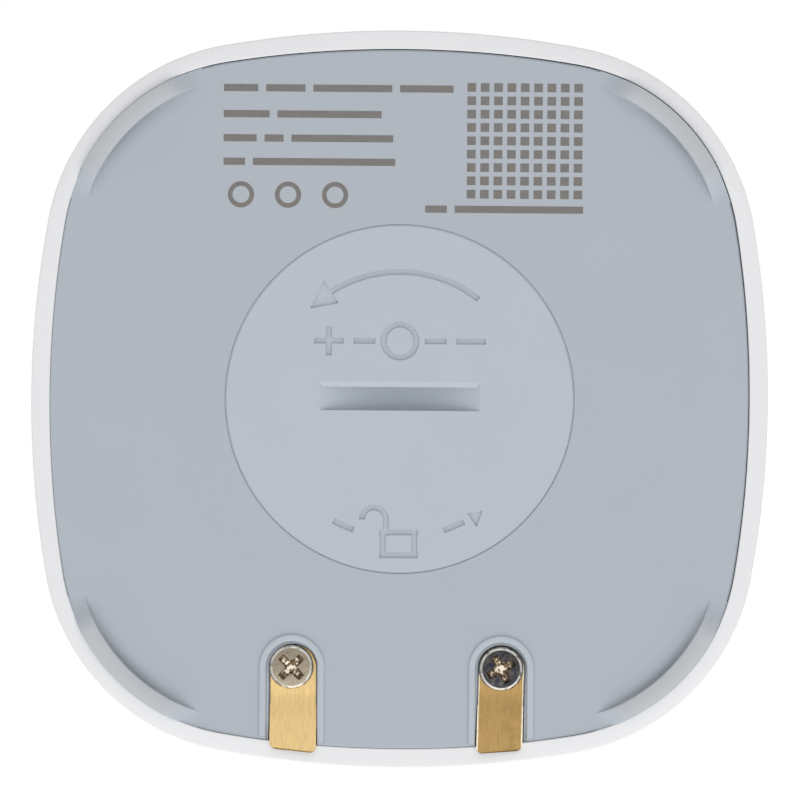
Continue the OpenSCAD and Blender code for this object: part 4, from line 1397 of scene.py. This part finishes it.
@dataclass
class Contacts:
    """Two bent brass contacts, each under a cross-recessed screw."""

    neck: float = 0.978
    end_reach: float = 1.45
    thickness: float = 0.3
    edge_round: float = 0.05
    bend_y: float = -24.25
    bend_soft: float = 1.2
    slope: float = 1.2 / 3.55
    flat_low: float = 1.4
    tip_round: float = 0.5
    hole_radius: float = 1.1
    head_radius: float = 1.75
    head_height: float = 0.9
    shank_radius: float = 0.95
    shank_end: float = 5.0
    recess: float = 1.16
    arm: float = 0.33
    first_turn: float = math.radians(62.0)
    second_turn: float = math.radians(45.0)

    def strip(self, hand: Side, metal: ContactMetal) -> Mesh:
        """Makes one contact at the middle of the front, with rounded edges and its bend.

        Args:
            hand: Side that it is for, whose outer corner is the shorter one.
            metal: Its finish, which knows its width and its end.

        Returns:
            The closed mesh.
        """
        half = metal.half_width
        outline = strip_head(half, metal.screw_y, self.end_reach, 24)
        for side, start in ((Side.LEFT, 180.0), (Side.RIGHT, 270.0)):
            for angle in even(start, start + 90.0, 8):
                out, up = polar(self.tip_round, angle)
                x = side.value * (half - self.tip_round) + out
                outline.append((x, metal.tip_y + metal.skew * (half + hand.value * x) + self.tip_round + up))
        mesh = prism(outline, self.flat_low, self.flat_low + self.thickness)
        work = bmesh.new()
        work.from_mesh(mesh)
        edges = [edge for edge in work.edges if abs(edge.verts[0].co.z - edge.verts[1].co.z) < 1e-7]
        bmesh.ops.bevel(work, geom=edges, offset=self.edge_round * MM, segments=2, affect="EDGES")
        for offset in (-1.2, -0.8, -0.4, 0.0, 0.25, 0.6, 0.9, 1.2):
            level = Vector((0.0, (self.bend_y + offset) * MM, 0.0))
            bmesh.ops.bisect_plane(work, geom=work.verts[:] + work.edges[:] + work.faces[:], plane_co=level,
                                   plane_no=(0.0, 1.0, 0.0))
        for corner in work.verts:
            self.bend(corner.co)
        bmesh.ops.recalc_face_normals(work, faces=work.faces)
        work.to_mesh(mesh)
        work.free()
        return work_mesh(mesh, [moved(rod(self.hole_radius, 0.0, 3.0, 48), 0.0, metal.screw_y)], Join.CUT)

    def bend(self, place: Vector) -> None:
        """Moves a point of the flat strip to where the bent strip has it."""
        past = self.bend_y * MM - place.y
        soft = self.bend_soft * MM
        drop = past if past > soft else max(past + soft, 0.0) ** 2 / (4.0 * soft)
        place.z -= self.slope * drop
        if past < 0.0:
            place.x *= self.neck

    def build(self) -> None:
        """Makes both contacts and their screws."""
        for side, metal in STRIP_METAL.items():
            strip = set_strip(self.strip(side, metal), side)
            name = side.name.lower()
            hand_over(name + "_contact_strip", strip, metal, 30.0, Body.HOUSING, "contact_brass",
                      name + "_contact")
        self.build_screws()

    def cross(self, reach: float, half: float, height: float) -> list:
        """Returns the corners of a cross at a height, with slanted inner corners."""
        corners = []
        for angle in (0.0, 90.0, 180.0, 270.0):
            along, across = polar(1.0, angle)
            arm = ((half * 1.5, -half), (reach, -half * 0.86), (reach, half * 0.86), (half * 1.5, half))
            corners += [(x * along - y * across, x * across + y * along, height) for x, y in arm]
        return corners

    def screw(self) -> Mesh:
        """Returns one screw at the origin, its head's underside at zero and its head down."""
        top = -self.head_height
        rim = self.head_radius
        shank = self.shank_radius
        profile = [(0.0, top), (rim - 0.32, top), (rim - 0.24, top + 0.02), (rim - 0.1, top + 0.12),
                   (rim - 0.03, top + 0.24), (rim, top + 0.42), (rim, -0.04), (rim - 0.05, 0.0), (shank, 0.0),
                   (shank, self.shank_end - 0.4), (shank - 0.25, self.shank_end), (0.0, self.shank_end)]
        recess = loft([self.cross(self.recess + 0.05, self.arm + 0.03, top - 0.1),
                       self.cross(self.recess, self.arm, top + 0.02),
                       self.cross(self.recess * 0.62, self.arm * 0.8, top + 0.42),
                       self.cross(0.36, 0.2, top + 0.56)])
        return work_mesh(lathe(profile, 96), [recess], Join.CUT)

    def build_screws(self) -> None:
        """Sets a screw over each contact, each turned its own way."""
        tree = ShapeTree("contact_screws")
        apart = tree.length("Half distance", NICKEL.middle_x)
        level = tree.length("Screw Y", NICKEL.middle_y)
        shift_x = tree.length("Second shift X", NICKEL.shift_x)
        shift_y = tree.length("First shift Y", NICKEL.shift_y)
        seat = tree.length("Seat height", self.flat_low)
        first = tree.value("First turn", self.first_turn)
        second = tree.value("Second turn", self.second_turn)
        index = tree.index()
        across = (index * 2.0 - 1.0) * apart + index * shift_x
        place = tree.join(across, (1.0 - index) * shift_y + level, seat)
        pair = tree.repeat(tree.start, tree.count("Screws", 2), place, tree.blend(first, second, index))
        screws = tree.grow(self.screw(), pair, NICKEL)
        hand_over("contact_screws", screws, NICKEL, 30.0, Body.HOUSING, "screw_nickel", "left_contact_screw",
                  "right_contact_screw")


@dataclass
class Studio:
    """Floor, lamps, world and the camera under the sensor, in metres."""

    lens: float = 231.0
    distance: float = 0.4031
    middle: Point = (-0.000032, -0.000087)
    roll: float = math.radians(0.43)
    ambient: float = 0.59
    far_spread: float = math.radians(60.0)
    floor_half: float = 1.2
    floor_drop: float = 0.00003
    floor_tones: Point = (0.76, 0.79)

    def build(self) -> None:
        """Sets up everything round the object."""
        self.set_world()
        self.lay_floor()
        self.hang_lamps()
        self.set_camera()
        bpy.context.scene.view_settings.view_transform = "Standard"

    def set_world(self) -> None:
        """Makes the world white where it is seen and plain where it lights."""
        world = bpy.data.worlds.new("studio")
        bpy.context.scene.world = world
        world.use_nodes = True
        graph = Graph(world.node_tree)
        path = graph.node("ShaderNodeLightPath").outputs
        rays = [Value(graph, path["Is %s Ray" % kind]) for kind in ("Camera", "Glossy", "Transmission")]
        seen = graph.math("MAXIMUM", graph.math("MAXIMUM", rays[0], rays[1]), rays[2])
        strength = graph.blend(self.ambient, 1.0, seen)
        graph.fill(graph.find("BACKGROUND"), {"Color": (1.0, 1.0, 1.0, 1.0), "Strength": strength})

    def lay_floor(self) -> None:
        """Lays a pale floor that shows from above, keeps the shadow and lets light through from below."""
        corners = [(x, y, -self.floor_drop) for x, y in bar(2.0 * self.floor_half, 2.0 * self.floor_half)]
        mesh = bpy.data.meshes.new("floor")
        mesh.from_pydata(corners, [], [(0, 1, 2, 3)])
        graph, shader, place = new_material("floor_paper")
        low, high = [(tone, tone, tone) for tone in self.floor_tones]
        tone = graph.mix(graph.noise(place, 1.0 / (30.0 * MM), 3.0), low, high)
        graph.fill(shader, {"Base Color": tone, "Roughness": 0.9, "Specular IOR Level": 0.0})
        surface = Value(graph, shader.outputs[0])
        behind = graph.add("ShaderNodeNewGeometry", None, "Backfacing")
        clear = graph.add("ShaderNodeBsdfTransparent")
        both = graph.add("ShaderNodeMixShader", {0: behind, 1: surface, 2: clear})
        graph.fill(graph.find("OUTPUT_MATERIAL"), {"Surface": both})
        mesh.materials.append(bpy.data.materials["floor_paper"])
        floor = place_object("floor", mesh)
        floor.visible_diffuse = False
        floor.visible_glossy = False
        floor.visible_transmission = False
        floor.visible_shadow = False

    def hang_lamps(self) -> None:
        """Hangs soft panels under the object and far soft lamps over it."""
        lamps = (("low_key", "AREA", (-0.06, -0.50, -0.42), 1.2, 4.25),
                 ("low_fill", "AREA", (-0.10, 0.38, -0.36), 0.40, 0.2),
                 ("high_key", "SUN", (-0.22, 0.10, 0.52), self.far_spread, 1.05),
                 ("high_fill", "SUN", (0.30, 0.30, 0.35), self.far_spread, 0.42))
        for name, kind, place, spread, power in lamps:
            light = bpy.data.lights.new(name, kind)
            setattr(light, "size" if kind == "AREA" else "angle", spread)
            light.energy = power
            holder = place_object(name, light)
            holder.location = place
            holder.rotation_euler = (-Vector(place)).to_track_quat("-Z", "Y").to_euler()
            holder.visible_camera = False

    def set_camera(self) -> None:
        """Points the camera straight up at the underside, with the contacts at the bottom of the picture."""
        data = bpy.data.cameras.new("photo")
        data.lens = self.lens
        data.sensor_width = 36.0
        data.clip_start = 0.01
        camera = place_object("photo", data)
        camera.location = (*self.middle, -self.distance)
        camera.rotation_euler = (0.0, math.pi, -self.roll)
        bpy.context.scene.camera = camera


def dress_nodes(nodes: dict[str, bpy.types.Object]) -> None:
    """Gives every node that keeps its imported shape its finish."""
    for finish, *names in PACKED_FINISHES:
        for name in names:
            for place in nodes[name].material_slots:
                place.material = finish.material()
            LOG.info("%s: packed shape in %s", name, finish.name)


def main() -> None:
    """Builds the sensor's pieces in order."""
    logging.basicConfig(level=logging.INFO, format="%(name)s: %(message)s")
    for found in list(bpy.data.objects):
        bpy.data.objects.remove(found)
    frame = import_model()
    outline = Outline(half_width=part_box("top_cover")[1].x / MM)
    TopCover(outline).build()
    BaseCover(outline).build()
    BatteryDoor().build()
    Contacts().build()
    dress_nodes(frame["nodes"])
    Studio().build()


if __name__ == "__main__":
    main()
